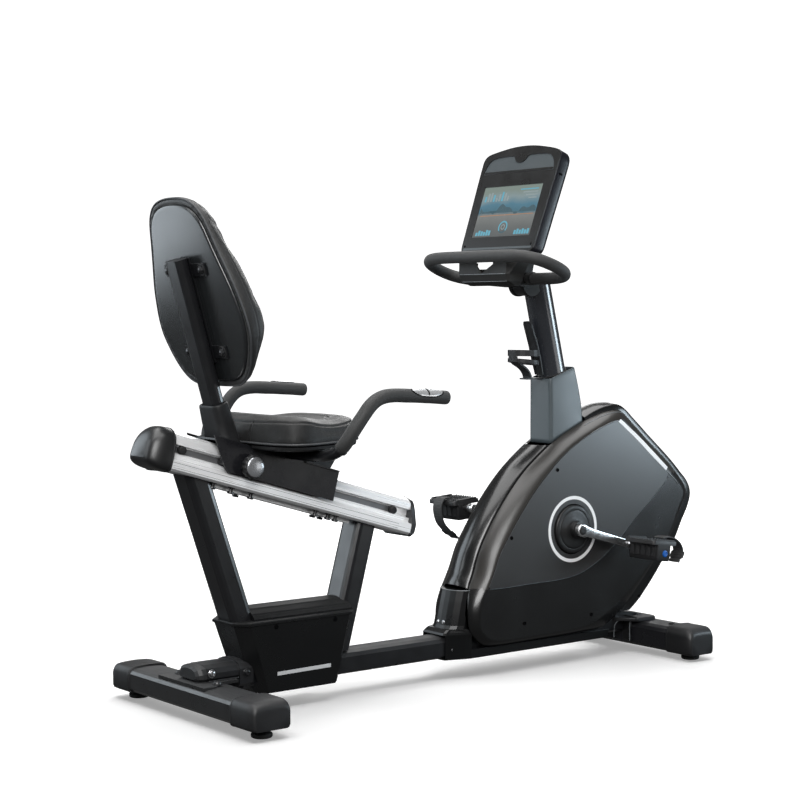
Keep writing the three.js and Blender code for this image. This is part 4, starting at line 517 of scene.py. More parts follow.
# base cover trim: metallic strip and plugs
def cover_y(x, z):      # near side wall of the base cover
    return 60.6 + (z - 40) / 156.0 * 8.4
for s in (1, -1):
    q = []
    for x in np.linspace(172, 320, 12):
        q.append(x)
    ring0 = [(x, s * (cover_y(x, 78) + .9), 78.0 + (x - 172) * .012) for x in q] + [(x, s * (cover_y(x, 86) + .9), 86.5 + (x - 172) * .012) for x in reversed(q)]
    ring1 = [(x, y - s * 1.4, z) for x, y, z in ring0]
    v, f = loft([ring0, ring1])
    new_obj(f'base_strip_{"lr"[s < 0]}', v, f, STRIP, 'frame', angle=30, bevel=(.3, 2))
    for i, (x, z) in enumerate(((166, 190), (329, 190))):
        y = cover_y(x, z)
        v, f = turn((x, s * (y - 1.0), z), (0, s, .0), [(1, 0), (5.6, 0), (5.6, 1.5), (5.0, 2.0), (2.5, 2.2), (.2, 2.2)], 32)
        new_obj(f'base_plug_{"lr"[s < 0]}_{i}', v, f, DARK, 'frame', angle=34)

# ------------------------------------------------------------------ seat rail ends and small parts
def cap_sec(s, w, h0, h1):
    half = [(0, 0), (.8, 0), (.94, .04), (1, .12), (1, .36), (.95, .56), (.84, .76), (.64, .9), (.34, .98), (0, 1)]
    half = [tuple(q) for q in crom(half, 4)]
    full = half + [(-y, h) for y, h in reversed(half) if abs(y) > 1e-6]
    return [rail(s, y * w, h0 + (h1 - h0) * h) for y, h in full]
secs = crom([(-98.4, 53.5, -4, 91.5), (-118, 53.5, -3, 91), (-132, 51, -1, 87), (-144, 46, 3, 77), (-152, 39, 8, 64), (-157, 28, 15, 50)], 4)
v, f = loft([cap_sec(*q) for q in secs])
new_obj('rail_end_cover', v, f, ENDC, 'frame', rep=('rail_rear_cover',), angle=60)
# skirt line round the cover's mouth
v, f = tube(spaced([tuple(Vector(p)) for p in cap_sec(-101.5, 53.9, -4.4, 91.9)], 110, True), .9, 8, (1, 0, 0), True)
new_obj('rail_cover_bead', v, f, PLASTIC, 'frame', angle=None)
dress('rail_front_cap', PLASTIC, 1.2, 3, 40, 26)
# slide strips in the recess and the fine drawn lines of the lower lip, both in the darker rail_shadow grey as painted
# shade
for s in (1, -1):
    q = lambda ss, e: [rail(ss, s * 21.9, 42.0), rail(ss, s * (22.34 - e), 42.4), rail(ss, s * (22.34 - e), 55.6), rail(ss, s * 21.9, 56.0)]
    v, f = loft([q(-96, .1), q(-95, 0), q(200, 0), q(543, 0), q(544, .1)])
    new_obj('rail_slide_' + ('left' if s > 0 else 'right'), v, f, RAILD, 'frame', angle=40)
    for k, hh in enumerate((8.6, 19.4)):
        v, f = tube([rail(ss, s * 51.88, hh) for ss in np.linspace(-97, 544, 24)], .46, 8, (0, 1, 0))
        new_obj(f'rail_line_{"lr"[s < 0]}_{k}', v, f, RAILD, 'frame', angle=None)
# rubber stops in the side grooves
for s in (1, -1):
    for i, (ss, hh) in enumerate(((-70, 50), (533.2, 48))):
        c = rail(ss, s * 23, hh); d = (0, s, 0)
        v, f = turn(c, d, [(2, 0), (8.2, 0), (9.0, 1.5), (9.0, 12.5), (7.8, 14.5), (3.2, 15.2), (.3, 15.2)], 36)
        new_obj(f'rail_stop_{"lr"[s < 0]}_{i}', v, f, RUBBER, 'frame', angle=34)
# hanging fixing screws under the rail
for i, (ss, yy) in enumerate(((28, -30), (77, -30), (131, -30), (315, -30), (352, -30), (374, -30), (28, 30), (131, 30), (352, 30), (374, 30))):
    c = Vector(rail(ss, yy, .2)); dn = (Vector(rail(ss, yy, -10)) - c).normalized()
    parts = [turn(tuple(c), tuple(dn), [(3, 0), (8, 0), (8, 1.6), (4.1, 1.8), (4.1, 8.5), (7.2, 8.7), (7.6, 9.6), (7.6, 13.2), (6.6, 14.4), (2.6, 14.6), (2.2, 12.6), (.2, 12.6)], 24)]
    v, f = merge(*parts)
    new_obj(f'rail_screw_{i}', v, f, PAINT, 'frame', angle=30)
# knurled star knob on a collar
kc = rail(90.7, 0, 53.4)
def knob_ring(y, R, dep, n=168):
    return [(kc[0] + math.cos(2 * math.pi * i / n) * (R - dep * (.5 - .5 * math.cos(14 * 2 * math.pi * i / n))), y, kc[2] + math.sin(2 * math.pi * i / n) * (R - dep * (.5 - .5 * math.cos(14 * 2 * math.pi * i / n)))) for i in range(n)]
v, f = loft([knob_ring(-64.4, 14, 0), knob_ring(-64.8, 21, 0), knob_ring(-66, 24, .3), knob_ring(-68.5, 26.6, 1.6), knob_ring(-71, 27.4, 2.2), knob_ring(-78, 27.6, 2.2), knob_ring(-81.5, 26.8, 1.6), knob_ring(-83.4, 25, .6), knob_ring(-84, 23, 0)])
new_obj('knob_grip', v, f, PLASTIC, 'lock_knob_body', rep=('lock_knob',), angle=40)
v, f = turn((kc[0], -83.9, kc[2]), (0, -1, 0), [(22.4, 0), (22.4, 1.2), (21.6, 2.4), (19.6, 3.6), (15, 4.6), (9, 5.3), (.2, 5.6)], 64)
new_obj('knob_face', v, f, SILVER, 'lock_knob_body', angle=34)
v, f = merge(turn((kc[0], -58.6, kc[2]), (0, -1, 0), [(5, 0), (12, 0), (12.4, .6), (12.4, 5.2), (12, 5.8), (5, 5.8)], 40), turn((kc[0], -50, kc[2]), (0, -1, 0), [(5.9, 0), (5.9, 16)], 28))
new_obj('knob_spindle', v, f, STEEL, 'lock_knob_body', angle=34)

# ------------------------------------------------------------------ drive casing
CS = [
  (800, 71, 62, 812, 87, 0, 0), (776, 77, 62, 790, 93, 0, 0), (756, 92, 62, 772, 105, 0, 0), (738, 118, 61.5, 757, 125, 0, 0), (734, 155, 60, 758, 160, 0, 0), (739, 188, 54, 768, 192, 0, 0),
  (749, 216, 46, 782, 222, 2, 16), (766, 247, 42, 797, 254, 3, 17), (787, 304, 42, 818, 300, 3, 17), (818, 357, 42, 844, 337, 3, 18), (851, 403, 42, 876, 380, 3, 18), (892, 451, 42, 923, 436, 3, 18),
  (938, 496, 42, 968, 480, 3, 17), (987, 533, 42, 1016, 521, 3, 15), (1029, 561, 42, 1060, 550, 3, 14), (1066, 581, 42, 1098, 570, 3, 11), (1104, 598, 42, 1141, 589, 4, 8),
  (1144, 614, 43, 1172, 600, 6, 10), (1178, 626, 46, 1200, 609, 9, 12), (1215, 636, 53, 1222, 612, 11, 13), (1252, 636, 60, 1241, 610, 12, 14), (1300, 600, 62, 1282, 575, 12, 15),
  (1353, 556, 62, 1335, 530, 12, 16), (1400, 520, 62, 1375, 496, 11, 13), (1440, 487, 62, 1412, 466, 11, 12), (1474, 452, 62, 1444, 440, 13, 14), (1494, 428, 62, 1462, 421, 16, 18),
  (1500, 406, 62, 1468, 404, 20, 24), (1489, 383, 62, 1456, 380, 24, 27), (1466, 345, 62, 1436, 342, 24, 28), (1442, 302, 62, 1415, 300, 24, 28), (1406, 262, 62, 1376, 262, 26, 28),
  (1366, 218, 62, 1334, 222, 28, 28), (1330, 180, 62, 1296, 190, 28, 27), (1293, 144, 62, 1258, 163, 26, 25), (1248, 108, 62, 1213, 134, 18, 18), (1190, 77, 62, 1160, 104, 0, 0),
  (1110, 72, 62, 1100, 90, 0, 0), (970, 70, 62, 960, 86, 0, 0)]
PER = 5
CF = np.array(crom(CS, PER, True))                 # fine version, PER samples a span
NF = len(CF)
PANEL_Y = 83.0
def sec(i, t, off=0.0):
    """shell surface at outline sample i: t 0 at the parting edge, 1 at the flat panel"""
    c = CF[i]; n = 1.41
    w = math.pi / 2 * t
    g = 1 - math.cos(w) ** (2 / n) if t < 1 else 1.0
    h = math.sin(w) ** (2 / n)
    return (c[0] + (c[3] - c[0]) * g, c[2] + (PANEL_Y - c[2]) * h, c[1] + (c[4] - c[1]) * g)

def planar_fill(name, loops, mat, body, y, thick=0.0, **kw):
    """flat piece in an xz plane from outline and hole loops, extruded by thick along y"""
    bm = bmesh.new()
    for L in loops:
        vs = [bm.verts.new(W((x, y, z))) for x, z in L]
        for a, b in zip(vs, vs[1:] + vs[:1]):
            bm.edges.new((a, b))
    bmesh.ops.triangle_fill(bm, use_beauty=True, use_dissolve=False, edges=bm.edges[:])
    if thick:
        r = bmesh.ops.extrude_face_region(bm, geom=bm.faces[:])
        mv = [e for e in r['geom'] if isinstance(e, bmesh.types.BMVert)]
        bmesh.ops.translate(bm, verts=mv, vec=(0, thick / 1000, 0))
    bmesh.ops.recalc_face_normals(bm, faces=bm.faces)
    me = bpy.data.meshes.new(name); bm.to_mesh(me); bm.free()
    ob = bpy.data.objects.new(name, me); coll.objects.link(ob)
    me.materials.append(mat)
    finish_mesh(ob, 30)
    if kw.get('bevel'): add_bevel(ob, *kw['bevel'])
    if body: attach(ob, body)
    return ob

HOLE_R = 64.0
hole = [(CRANK[0] + math.cos(2 * math.pi * k / 120) * HOLE_R, CRANK[1] + math.sin(2 * math.pi * k / 120) * HOLE_R) for k in range(120)]
def shell_side(s):
    T = [0, .08, .18, .30, .42, .54, .66, .78, .89, 1.0]
    rings = []
    for t in T:
        rings.append([(lambda q: (q[0], s * q[1], q[2]))(sec(i, t)) for i in range(NF)])
    v, f = loft(rings, cap=False)
    bm = bmesh.new()
    bv = [bm.verts.new(W(p)) for p in v]
    for q in f: bm.faces.new([bv[i] for i in q])
    # flat panel between the last ring and the crank opening
    last = bv[(len(T) - 1) * NF:]
    hv = [bm.verts.new(W((x, s * PANEL_Y, z))) for x, z in hole]
    ed = []
    for a, b in zip(last, last[1:] + last[:1]):
        e = bm.edges.get((a, b)) or bm.edges.new((a, b)); ed.append(e)
    crease = list(ed)
    for a, b in zip(hv, hv[1:] + hv[:1]): ed.append(bm.edges.new((a, b)))
    bmesh.ops.triangle_fill(bm, use_beauty=True, use_dissolve=False, edges=ed)
    bmesh.ops.recalc_face_normals(bm, faces=bm.faces)
    bm.faces.ensure_lookup_table()
    # make sure the skin faces outwards
    if sum(fc.normal.y * fc.calc_area() for fc in bm.faces) * s < 0:
        bmesh.ops.reverse_faces(bm, faces=bm.faces)
    for e in crease: e.smooth = False
    me = bpy.data.meshes.new('shell'); bm.to_mesh(me); bm.free()
    name = 'casing_shell_' + ('left' if s > 0 else 'right')
    ob = bpy.data.objects.new(name, me); coll.objects.link(ob)
    me.materials.append(GLOSSG); me.materials.append(SHELLR)
    for pl in me.polygons:
        cx, cz = pl.center.x * 1000 + X0, pl.center.z * 1000
        rim = abs(abs(pl.center.y) * 1000 - PANEL_Y) > .02
        if rim and (cz > 217 if cx < 1000 else (cx > 1000 and cz > 464)): pl.material_index = 1
    me.polygons.foreach_set('use_smooth', [True] * len(me.polygons))
    so = ob.modifiers.new('solid', 'SOLIDIFY'); so.thickness = .0026; so.offset = -1; so.use_even_offset = True
    add_bevel(ob, .5, 2, 50)
    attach(ob, 'frame')
    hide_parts('casing_left' if s > 0 else 'casing_right')
    return ob
for s in (1, -1): shell_side(s)

# raised satin field above the sweeping divider, the same on both sides
DIV = [(769, 216), (846, 215), (918, 217), (1007, 218), (1050, 221), (1090, 228), (1128, 242), (1166, 261), (1221, 298), (1284, 353), (1340, 395), (1422, 464)]
div = [tuple(q) for q in smooth_path([(x, 0, z) for x, z in DIV], 90)]
div = [(x, z) for x, _, z in div]
def div_z(x):
    return float(np.interp(x, [q[0] for q in div], [q[1] for q in div]))
def panel_loop(ins):
    P = [(CF[i][3], CF[i][4]) for i in range(NF)]
    out = []
    for i in range(NF):
        a, b = P[(i - 1) % NF], P[(i + 1) % NF]
        dx, dz = b[0] - a[0], b[1] - a[1]; l = math.hypot(dx, dz)
        n = (-dz / l, dx / l)
        out.append((P[i][0] - n[0] * ins, P[i][1] - n[1] * ins))
    return out
PL = panel_loop(1.6)
area = sum(PL[i][0] * PL[(i + 1) % NF][1] - PL[(i + 1) % NF][0] * PL[i][1] for i in range(NF))
def above(loop, lift):
    """part of the panel loop above the divider, closed along it"""
    keep = [div_z(x) + lift < z if 700 < x < 1500 else False for x, z in loop]
    n = len(loop)
    st = next(i for i in range(n) if keep[i] and not keep[i - 1])
    seq = []
    i = st
    while keep[i % n]:
        seq.append(loop[i % n]); i += 1
    a, b = seq[0], seq[-1]
    line = [(x, z + lift) for x, z in div if min(a[0], b[0]) + 1.5 < x < max(a[0], b[0]) - 1.5]
    if b[0] > a[0]: line = line[::-1]
    return seq + line
up = above(PL, 1.2)
for s in (1, -1):
    tag = 'left' if s > 0 else 'right'
    planar_fill('casing_field_' + tag, [up, hole], SHELL, 'frame', s * (PANEL_Y - .6), s * 1.7, bevel=(.5, 3, 40))
    # fine bright line along the divider, a painted highlight on the step of the raised field
    pts = [(x, s * (PANEL_Y + .45), z) for x, z in div if x > 778 and x < 1414]
    v, f = tube(pts, .75, 8, (0, 1, 0))
    new_obj('casing_divider_' + tag, v, f, SILVER if False else GREY, 'frame', angle=None)
    # printed ring round the crank cover
    R0, R1 = 75.6, 84.2
    o = [(CRANK[0] + math.cos(2 * math.pi * k / 160) * R1, CRANK[1] + math.sin(2 * math.pi * k / 160) * R1) for k in range(160)]
    q = [(CRANK[0] + math.cos(2 * math.pi * k / 160) * R0, CRANK[1] + math.sin(2 * math.pi * k / 160) * R0) for k in range(160)]
    planar_fill('casing_ring_' + tag, [o, q], WHITE, 'frame', s * (PANEL_Y + 1.0), s * .35, bevel=(.12, 1, 40))
    # fine light lines along the rim: painted highlights on the rim's edges
    for q, (tt, i_off) in enumerate(((1.0, 0), (.34, 0))):
        pts = []
        for i in range(NF):
            a = sec(i, tt)
            pts.append((a[0], a[1], a[2]))
        keep = [p_[0] > 1120 and p_[2] > 436 for p_ in pts]
        st = next(i for i in range(NF) if keep[i] and not keep[i - 1])
        seq = []
        i = st
        while keep[i % NF]:
            a = pts[i % NF]; seq.append((a[0], s * (a[1] + .5), a[2])); i += 1
        v, f = tube(seq, .85, 8, (0, 1, 0))
        new_obj(f'casing_rim_line_{tag}_{q}', v, f, PAINTED_HIGHLIGHT, 'frame', angle=None)
    # tapering stripe along the upper front edge
    top = smooth_path([(1223, 0, 611), (1290, 0, 562), (1350, 0, 514), (1401, 0, 474)], 40)
    bot = smooth_path([(1410, 0, 480), (1362, 0, 519), (1300, 0, 568), (1235, 0, 614)], 40)
    bot = [(x - 2.3, y, z + 1.6) for x, y, z in bot]; top = [(x + .9, y, z - 1.0) for x, y, z in top]
    planar_fill('casing_stripe_' + tag, [[(x, z) for x, _, z in top] + [(x, z) for x, _, z in bot]], WHITE, 'frame', s * (PANEL_Y + .9), s * .4, bevel=(.12, 1, 40))
    # screw wells, deep black: painted shade for the hollow of each hole
    for i, (x, y, z) in enumerate(((855.4, 82.6, 336.5), (1009.6, 82.6, 496.0), (1310.7, 76.5, 146.5), (900, 83.4, 120), (1130, 83.4, 118))):
        v, f = turn((x, s * (y + (.8 if i < 2 else -.6)), z), (0, s, 0), [(1, 0), (4.6, 0), (4.6, 1.9), (4.2, 2.3), (3.2, 2.3), (3.0, 1.2), (.2, 1.2)], 28)
        new_obj(f'casing_screw_{tag}_{i}', v, f, DARK, 'frame', angle=34)

def band_surface(name, i0, i1, mat, rep, planes):
    n0, n1 = i0 * PER, i1 * PER
    ts = [-1.0, -.985, -.95, -.88, -.8, -.7, -.6, -.48, -.36, -.24, -.12, 0, .12, .24, .36, .48, .6, .7, .8, .88, .95, .985, 1.0]
    rings = []
    for k in range(n0, n1 + 1):
        i = k % NF; c = CF[i]
        a, b = CF[(i - 1) % NF], CF[(i + 1) % NF]
        dx, dz = b[0] - a[0], b[1] - a[1]; l = math.hypot(dx, dz); n = (-dz / l, dx / l)
        w, p, bu = c[2] - .3, max(c[5], 0), max(c[6], 0)
        ring = []
        for t in ts:
            o = p + bu * (1 - abs(t) ** 2.2)
            if abs(t) > .99: o = -2.5
            elif abs(t) > .98: o = p * .8
            ring.append((c[0] + n[0] * o, w * t, c[1] + n[1] * o))
        rings.append(ring)
    v, f = [tuple(p) for r in rings for p in r], []
    M = len(ts)
    for k in range(len(rings) - 1):
        for j in range(M - 1):
            f.append((k * M + j, k * M + j + 1, (k + 1) * M + j + 1, (k + 1) * M + j))
    bm = bmesh.new()
    bv = [bm.verts.new(W(p)) for p in v]
    for q in f: bm.faces.new([bv[i] for i in q])
    for co, no in planes:      # keeps what lies on the side that no points to
        bmesh.ops.bisect_plane(bm, geom=bm.verts[:] + bm.edges[:] + bm.faces[:], dist=1e-7, plane_co=W(co), plane_no=no, clear_inner=True)
    bmesh.ops.recalc_face_normals(bm, faces=bm.faces)
    # the crown of the band faces away from the casing's middle
    cen = Vector(W((1090, 0, 330)))
    if sum((fc.calc_center_median() - cen).dot(fc.normal) * fc.calc_area() for fc in bm.faces) < 0:
        bmesh.ops.reverse_faces(bm, faces=bm.faces)
    me = bpy.data.meshes.new(name); bm.to_mesh(me); bm.free()
    ob = bpy.data.objects.new(name, me); coll.objects.link(ob); me.materials.append(mat)
    finish_mesh(ob, 50)
    so = ob.modifiers.new('solid', 'SOLIDIFY'); so.thickness = .0026; so.offset = -1
    add_bevel(ob, .6, 2, 50)
    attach(ob, 'frame'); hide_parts(rep)
    return ob
band_surface('casing_rear_band', 6, 15, GLOSSG, 'casing_spine', [((0, 0, 212.8), (0, 0, 1)), ((1024.2, 0, 0), (-1, 0, 0)), ((1000, 0, 556.0), (0, 0, -1))])
band_surface('casing_nose_band', 17, 35, GLOSSG, 'casing_front_band', [((0, 0, 109.6), (0, 0, 1)), ((1144, 0, 0), (1, 0, 0))])
SKIRTM = make_mat('skirt_black', (.0050, .0053, .0056), .30, spec=.30, coat=.06, coat_rough=.2, grain=((9, .008, .002), (1200, .02, .0002)), var=.08, rvar=.03, rscale=10, dust=.012)
dress('casing_skirt', SKIRTM, 1.4, 3, 42, 26)
for i, (x, y, z, dr) in enumerate(((698.6, 10.0, 133.8, (-1, .1, .2)), (703, 46.0, 104.0, (0, 1, 0)), (711.8, 46.2, 90.0, (0, 1, 0)), (696.1, 46.0, 72.0, (0, 1, 0)))):
    for s in (1, -1):
        bolt(f'skirt_bolt_{"lr"[s < 0]}_{i}', (x, s * y, z), (dr[0], s * dr[1], dr[2]), 4.4, 3.6, STEEL, 'frame', 24, 5.6)
# lid that closes the top of the skirt round the rear band
lid = [(716.4, 0), (718.2, 15.6), (723.6, 31.4), (735.4, 43.2), (750.2, 51.2), (789, 54.6)]
lid = [tuple(q) for q in crom([(x, -y) for x, y in reversed(lid[1:])] + lid, 5)]
v, f = loft([[(x + i * .35, y * (1 - i * .006), z) for x, y in lid] for i, z in ((1.5, 209.6), (0, 210.2), (0, 211.6), (1.2, 212.4), (3, 212.5))])
new_obj('skirt_lid', v, f, SKIRTM, 'frame', angle=40)
# light bead along the skirt's top edge: a painted highlight
v, f = tube([(x, y, 212.4) for x, y in lid], .9, 10, (0, 0, 1))
new_obj('skirt_bead', v, f, PAINTED_HIGHLIGHT, 'frame', angle=None)

# ------------------------------------------------------------------ mast, sleeve, bottle cage
ZT = 975
def mast_ring(z, r, n=72):
    return [(mastX(z) + math.cos(2 * math.pi * i / n) * r * 1.028, math.sin(2 * math.pi * i / n) * r, z) for i in range(n)]
v, f = loft([mast_ring(540, MAST_R), mast_ring(700, MAST_R), mast_ring(860, MAST_R), mast_ring(ZT - 1.5, MAST_R), mast_ring(ZT, MAST_R - 1.5)])
MASTM = make_mat('mast_paint', (.0250, .0275, .0330), .24, spec=.85, coat=.75, coat_rough=.10, grain=((420, .06, .0005), (30, .05, .0008)), var=.12, rvar=.05, rscale=24, stretch=(1, 1, .12))
mt_ob = new_obj('mast_tube', v, f, MASTM, 'frame', rep=('mast',), angle=40)
v, f = turn((PIVOT[0], -17.4, PIVOT[1]), (0, 1, 0), [(8.4, 0), (PIVOT_R - 3, 0), (PIVOT_R - 1.5, 1.5), (PIVOT_R - 1.5, 33.3), (PIVOT_R - 3, 34.8), (8.4, 34.8)], 64, True)
new_obj('mast_barrel', v, f, PAINT, 'frame', angle=34)

def srect(x0, x1, hw, zf, r, m=8):
    xc, hx = (x0 + x1) / 2, (x1 - x0) / 2; out = []
    for sx, sy, a0 in ((1, 1, 0), (-1, 1, 90), (-1, -1, 180), (1, -1, 270)):
        for i in range(m + 1):
            w = math.radians(a0 + 90 * i / m)
            x = xc + sx * (hx - r) + math.cos(w) * r; y = sy * (hw - r) + math.sin(w) * r
            out.append((x, y, zf(x)))
    return out
slB = lambda x: 567 + .414 * (x - 1029) - 6
slT = lambda x: 726 + .34 * (x - 1034)
SL = crom([(1026, 1142, 41.3, 9), (1026, 1137, 41.2, 9), (1025.6, 1127, 40.5, 9), (1025, 1114, 39.6, 8.5)], 5)
hs = np.linspace(0, 1, len(SL))
rings = []
for q, t in zip(SL, hs):
    tt = t
    rings.append(srect(q[0], q[1], q[2], (lambda tt: (lambda x: slB(x) * (1 - tt) + (slT(x) - 3) * tt))(tt), q[3]))
rings.append(srect(1025.3, 1113.4, 39.0, lambda x: slT(x) - .8, 8))
rings.append(srect(1026.6, 1112.2, 37.9, slT, 7.4))
rings.append(srect(1029.2, 1109.8, 36.0, lambda x: slT(x) - .6, 7))
v, f = loft(rings, cap=False)
GREYS = GREY
sl = new_obj('mast_cover', v, f, GREYS, 'frame', rep=('mast_sleeve',), angle=40, solid=2.2)
# dark rubber lip between cover and mast
lip = []
for i in range(72):
    w = 2 * math.pi * i / 72
    x = mastX(731) + math.cos(w) * (MAST_R + 1.6) * 1.028; y = math.sin(w) * (MAST_R + 1.2)
    lip.append((x - .24 * (slT(x) - 731), y, slT(x) - .6))
v, f = tube(lip, 2.0, 10, (0, 0, 1), True)
new_obj('mast_lip', v, f, RUBBER, 'frame', angle=None)
dress('bottle_cage', PLASTIC, .7, 3, 40, 34)

# ------------------------------------------------------------------ cushions
def coords(me):
    a = np.empty(len(me.vertices) * 3); me.vertices.foreach_get('co', a)
    return a.reshape(-1, 3)

def set_coords(me, a):
    me.vertices.foreach_set('co', np.asarray(a, float).ravel()); me.update()

def normals(me):
    a = np.empty(len(me.vertices) * 3); me.vertex_normals.foreach_get('vector', a)
    return a.reshape(-1, 3)

def cushion(name, rings, mat, voxel, press, cap_mm, hold, frames=20):
    """remeshed pad swelled by cloth pressure; hold(co) says which points stay where they are"""
    v, f = loft(rings)
    ob = new_obj(name, v, f, mat, None, angle=None)
    rm = ob.modifiers.new('remesh', 'REMESH'); rm.mode = 'VOXEL'; rm.voxel_size = voxel / 1000.0; rm.adaptivity = 0.0
    apply_mods(ob)
    me = ob.data
    if not me.materials: me.materials.append(mat)
    rest = coords(me).copy()
    g = ob.vertex_groups.new(name='hold')
    fixed = [int(i) for i in np.nonzero(hold(rest))[0]]
    if fixed: g.add(fixed, 1.0, 'REPLACE')
    cl = ob.modifiers.new('cloth', 'CLOTH')
    st = cl.settings
    st.quality = 5; st.mass = .3
    st.tension_stiffness = 18; st.compression_stiffness = 18; st.shear_stiffness = 8; st.bending_stiffness = .6
    st.use_pressure = True; st.uniform_pressure_force = press
    st.effector_weights.gravity = 0
    st.vertex_group_mass = 'hold'
    cl.collision_settings.use_collision = False
    cl.point_cache.frame_start = 1; cl.point_cache.frame_end = frames
    for fr in range(1, frames + 1):
        scene.frame_set(fr)
    dg = bpy.context.evaluated_depsgraph_get()
    ev = ob.evaluated_get(dg); m2 = ev.to_mesh()
    cur = coords(m2).copy(); ev.to_mesh_clear()
    ob.modifiers.clear(); ob.vertex_groups.clear()
    mv = cur - rest; l = np.linalg.norm(mv, axis=1)
    mv *= (np.minimum(l, cap_mm / 1000.0) / np.maximum(l, 1e-9))[:, None]
    set_coords(me, rest + mv)
    scene.frame_set(1)
    sm = ob.modifiers.new('smooth', 'SMOOTH'); sm.factor = .5; sm.iterations = 4
    ss = ob.modifiers.new('sub', 'SUBSURF'); ss.levels = 1; ss.render_levels = 1
    apply_mods(ob)
    ob.data.polygons.foreach_set('use_smooth', [True] * len(ob.data.polygons))
    return ob

def near_path(co, path, reach):
    """distance of every point to a polyline, all in metres"""
    P = np.array([W(p) for p in path]); best = np.full(len(co), 9.0)
    lo, hi = P.min(0) - reach, P.max(0) + reach
    idx = np.nonzero(np.all((co > lo) & (co < hi), axis=1))[0]
    for k in range(0, len(P) - 1):
        a, b = P[k], P[k + 1]; ab = b - a; L = ab.dot(ab)
        if L < 1e-14: continue
        sub = idx[np.all((co[idx] > np.minimum(a, b) - reach) & (co[idx] < np.maximum(a, b) + reach), axis=1)]
        if not len(sub): continue
        t = np.clip((co[sub] - a).dot(ab) / L, 0, 1)
        d = np.linalg.norm(co[sub] - (a + t[:, None] * ab), axis=1)
        best[sub] = np.minimum(best[sub], d)
    return best

def press_seam(ob, path, depth, width, puff=.35):
    """a sewn line: a narrow valley with softly raised shoulders"""
    co = coords(ob.data); nn = normals(ob.data)
    d = near_path(co, path, .03)
    w = width / 1000.0
    g = -depth * np.exp(-(d / w) ** 2) + depth * puff * np.exp(-((d - 2.4 * w) / (1.5 * w)) ** 2)
    set_coords(ob.data, co + nn * (g / 1000.0)[:, None])

def on_surface(ob, pts, lift, direction=None):
    """drops points of the working frame onto the pad's skin; direction is the way to look"""
    from mathutils.bvhtree import BVHTree
    bm = bmesh.new(); bm.from_mesh(ob.data); tree = BVHTree.FromBMesh(bm); bm.free()
    out = []
    for p in pts:
        w = Vector(W(p))
        hit = tree.ray_cast(w, Vector(direction)) if direction is not None else (None,)
        if hit[0] is None: hit = tree.find_nearest(w)
        q = hit[0] + hit[1] * (lift / 1000.0)
        out.append((q.x * 1000 + X0, q.y * 1000, q.z * 1000, hit[1].x, hit[1].y, hit[1].z))
    return out

def stitches(name, pts, body, pitch=5.2, ln=3.4, r=.42, mat=None):
    """single sewn stitches lying along a line on a pad"""
    P = [Vector(p[:3]) for p in pts]
    d = [0]
    for a, b in zip(P, P[1:]): d.append(d[-1] + (b - a).length)
    parts = []; s0 = pitch * .5
    def at(s):
        k = int(np.clip(np.searchsorted(d, s) - 1, 0, len(P) - 2)); t = (s - d[k]) / max(d[k + 1] - d[k], 1e-9)
        return P[k].lerp(P[k + 1], t), Vector(pts[k][3:6])
    while s0 + ln < d[-1]:
        a, na = at(s0); b, nb = at(s0 + ln); m, nm = at(s0 + ln / 2)
        parts.append(tube([tuple(a - na * .5), tuple(a + na * .15), tuple(m + nm * .35), tuple(b + nb * .15), tuple(b - nb * .5)], r, 6, tuple(nm.orthogonal())))
        s0 += pitch
    v, f = merge(*parts)
    return new_obj(name, v, f, mat or PIPING, body, angle=None)

seatHalf = [(100, 0), (100.5, 60), (104, 118), (113, 164), (132, 191), (160, 200), (194, 196), (228, 184), (262, 171), (296, 156), (330, 138), (358, 117), (378, 90), (389, 52), (393, 0)]
seatOut = seatHalf + [(x, -y) for x, y in reversed(seatHalf[1:-1])]
seatOut = [tuple(q) for q in crom(seatOut, 5, True)]
saddle = lambda x: 13 if x < 150 else (13 * (.5 + .5 * math.cos(math.pi * (x - 150) / 120)) if x < 270 else (6 * (.5 - .5 * math.cos(math.pi * (x - 270) / 80)) if x < 350 else 6))
def seat_ring(k, z, grow=0.0):
    out = []
    for x, y in seatOut:
        X = 246 + (x - 246) * (1 + (k - 1) * 1.15); Y = y * k
        if grow:
            l = math.hypot(X - 246, Y); X += (X - 246) / l * grow; Y += Y / l * grow
        out.append((X, Y, z(X) if callable(z) else z))
    return out
seat_rings = [seat_ring(.90, 601.2), seat_ring(.962, 601.4), seat_ring(.978, 603.5), seat_ring(.984, 609), seat_ring(.978, 620), seat_ring(.966, 632), seat_ring(.952, lambda x: 640 + saddle(x) * .45), seat_ring(.925, lambda x: 645.5 + saddle(x) * .75), seat_ring(.88, lambda x: 648.5 + saddle(x) * .95), seat_ring(.80, lambda x: 650 + saddle(x)), seat_ring(.62, lambda x: 649.5 + saddle(x)), seat_ring(.38, lambda x: 648.5 + saddle(x)), seat_ring(.15, lambda x: 648 + saddle(x))]
VINYLS = make_mat('seat_vinyl', (.0095, .0097, .0098), .50, spec=.30, sheen=.06, grain=((60, .10, .002),), cells=((620, .32, .0004), (1500, .12, .0002)), var=.10, var_scale=9, rvar=.06, rscale=22, dust=.10)
seat_pad = cushion('seat_cushion_pad', seat_rings, VINYLS, 4.6, 2.2, 2.6, lambda c: c[:, 2] < .6060)
co = coords(seat_pad.data)
co[:, 2] = np.maximum(co[:, 2], .6006)
set_coords(seat_pad.data, co)
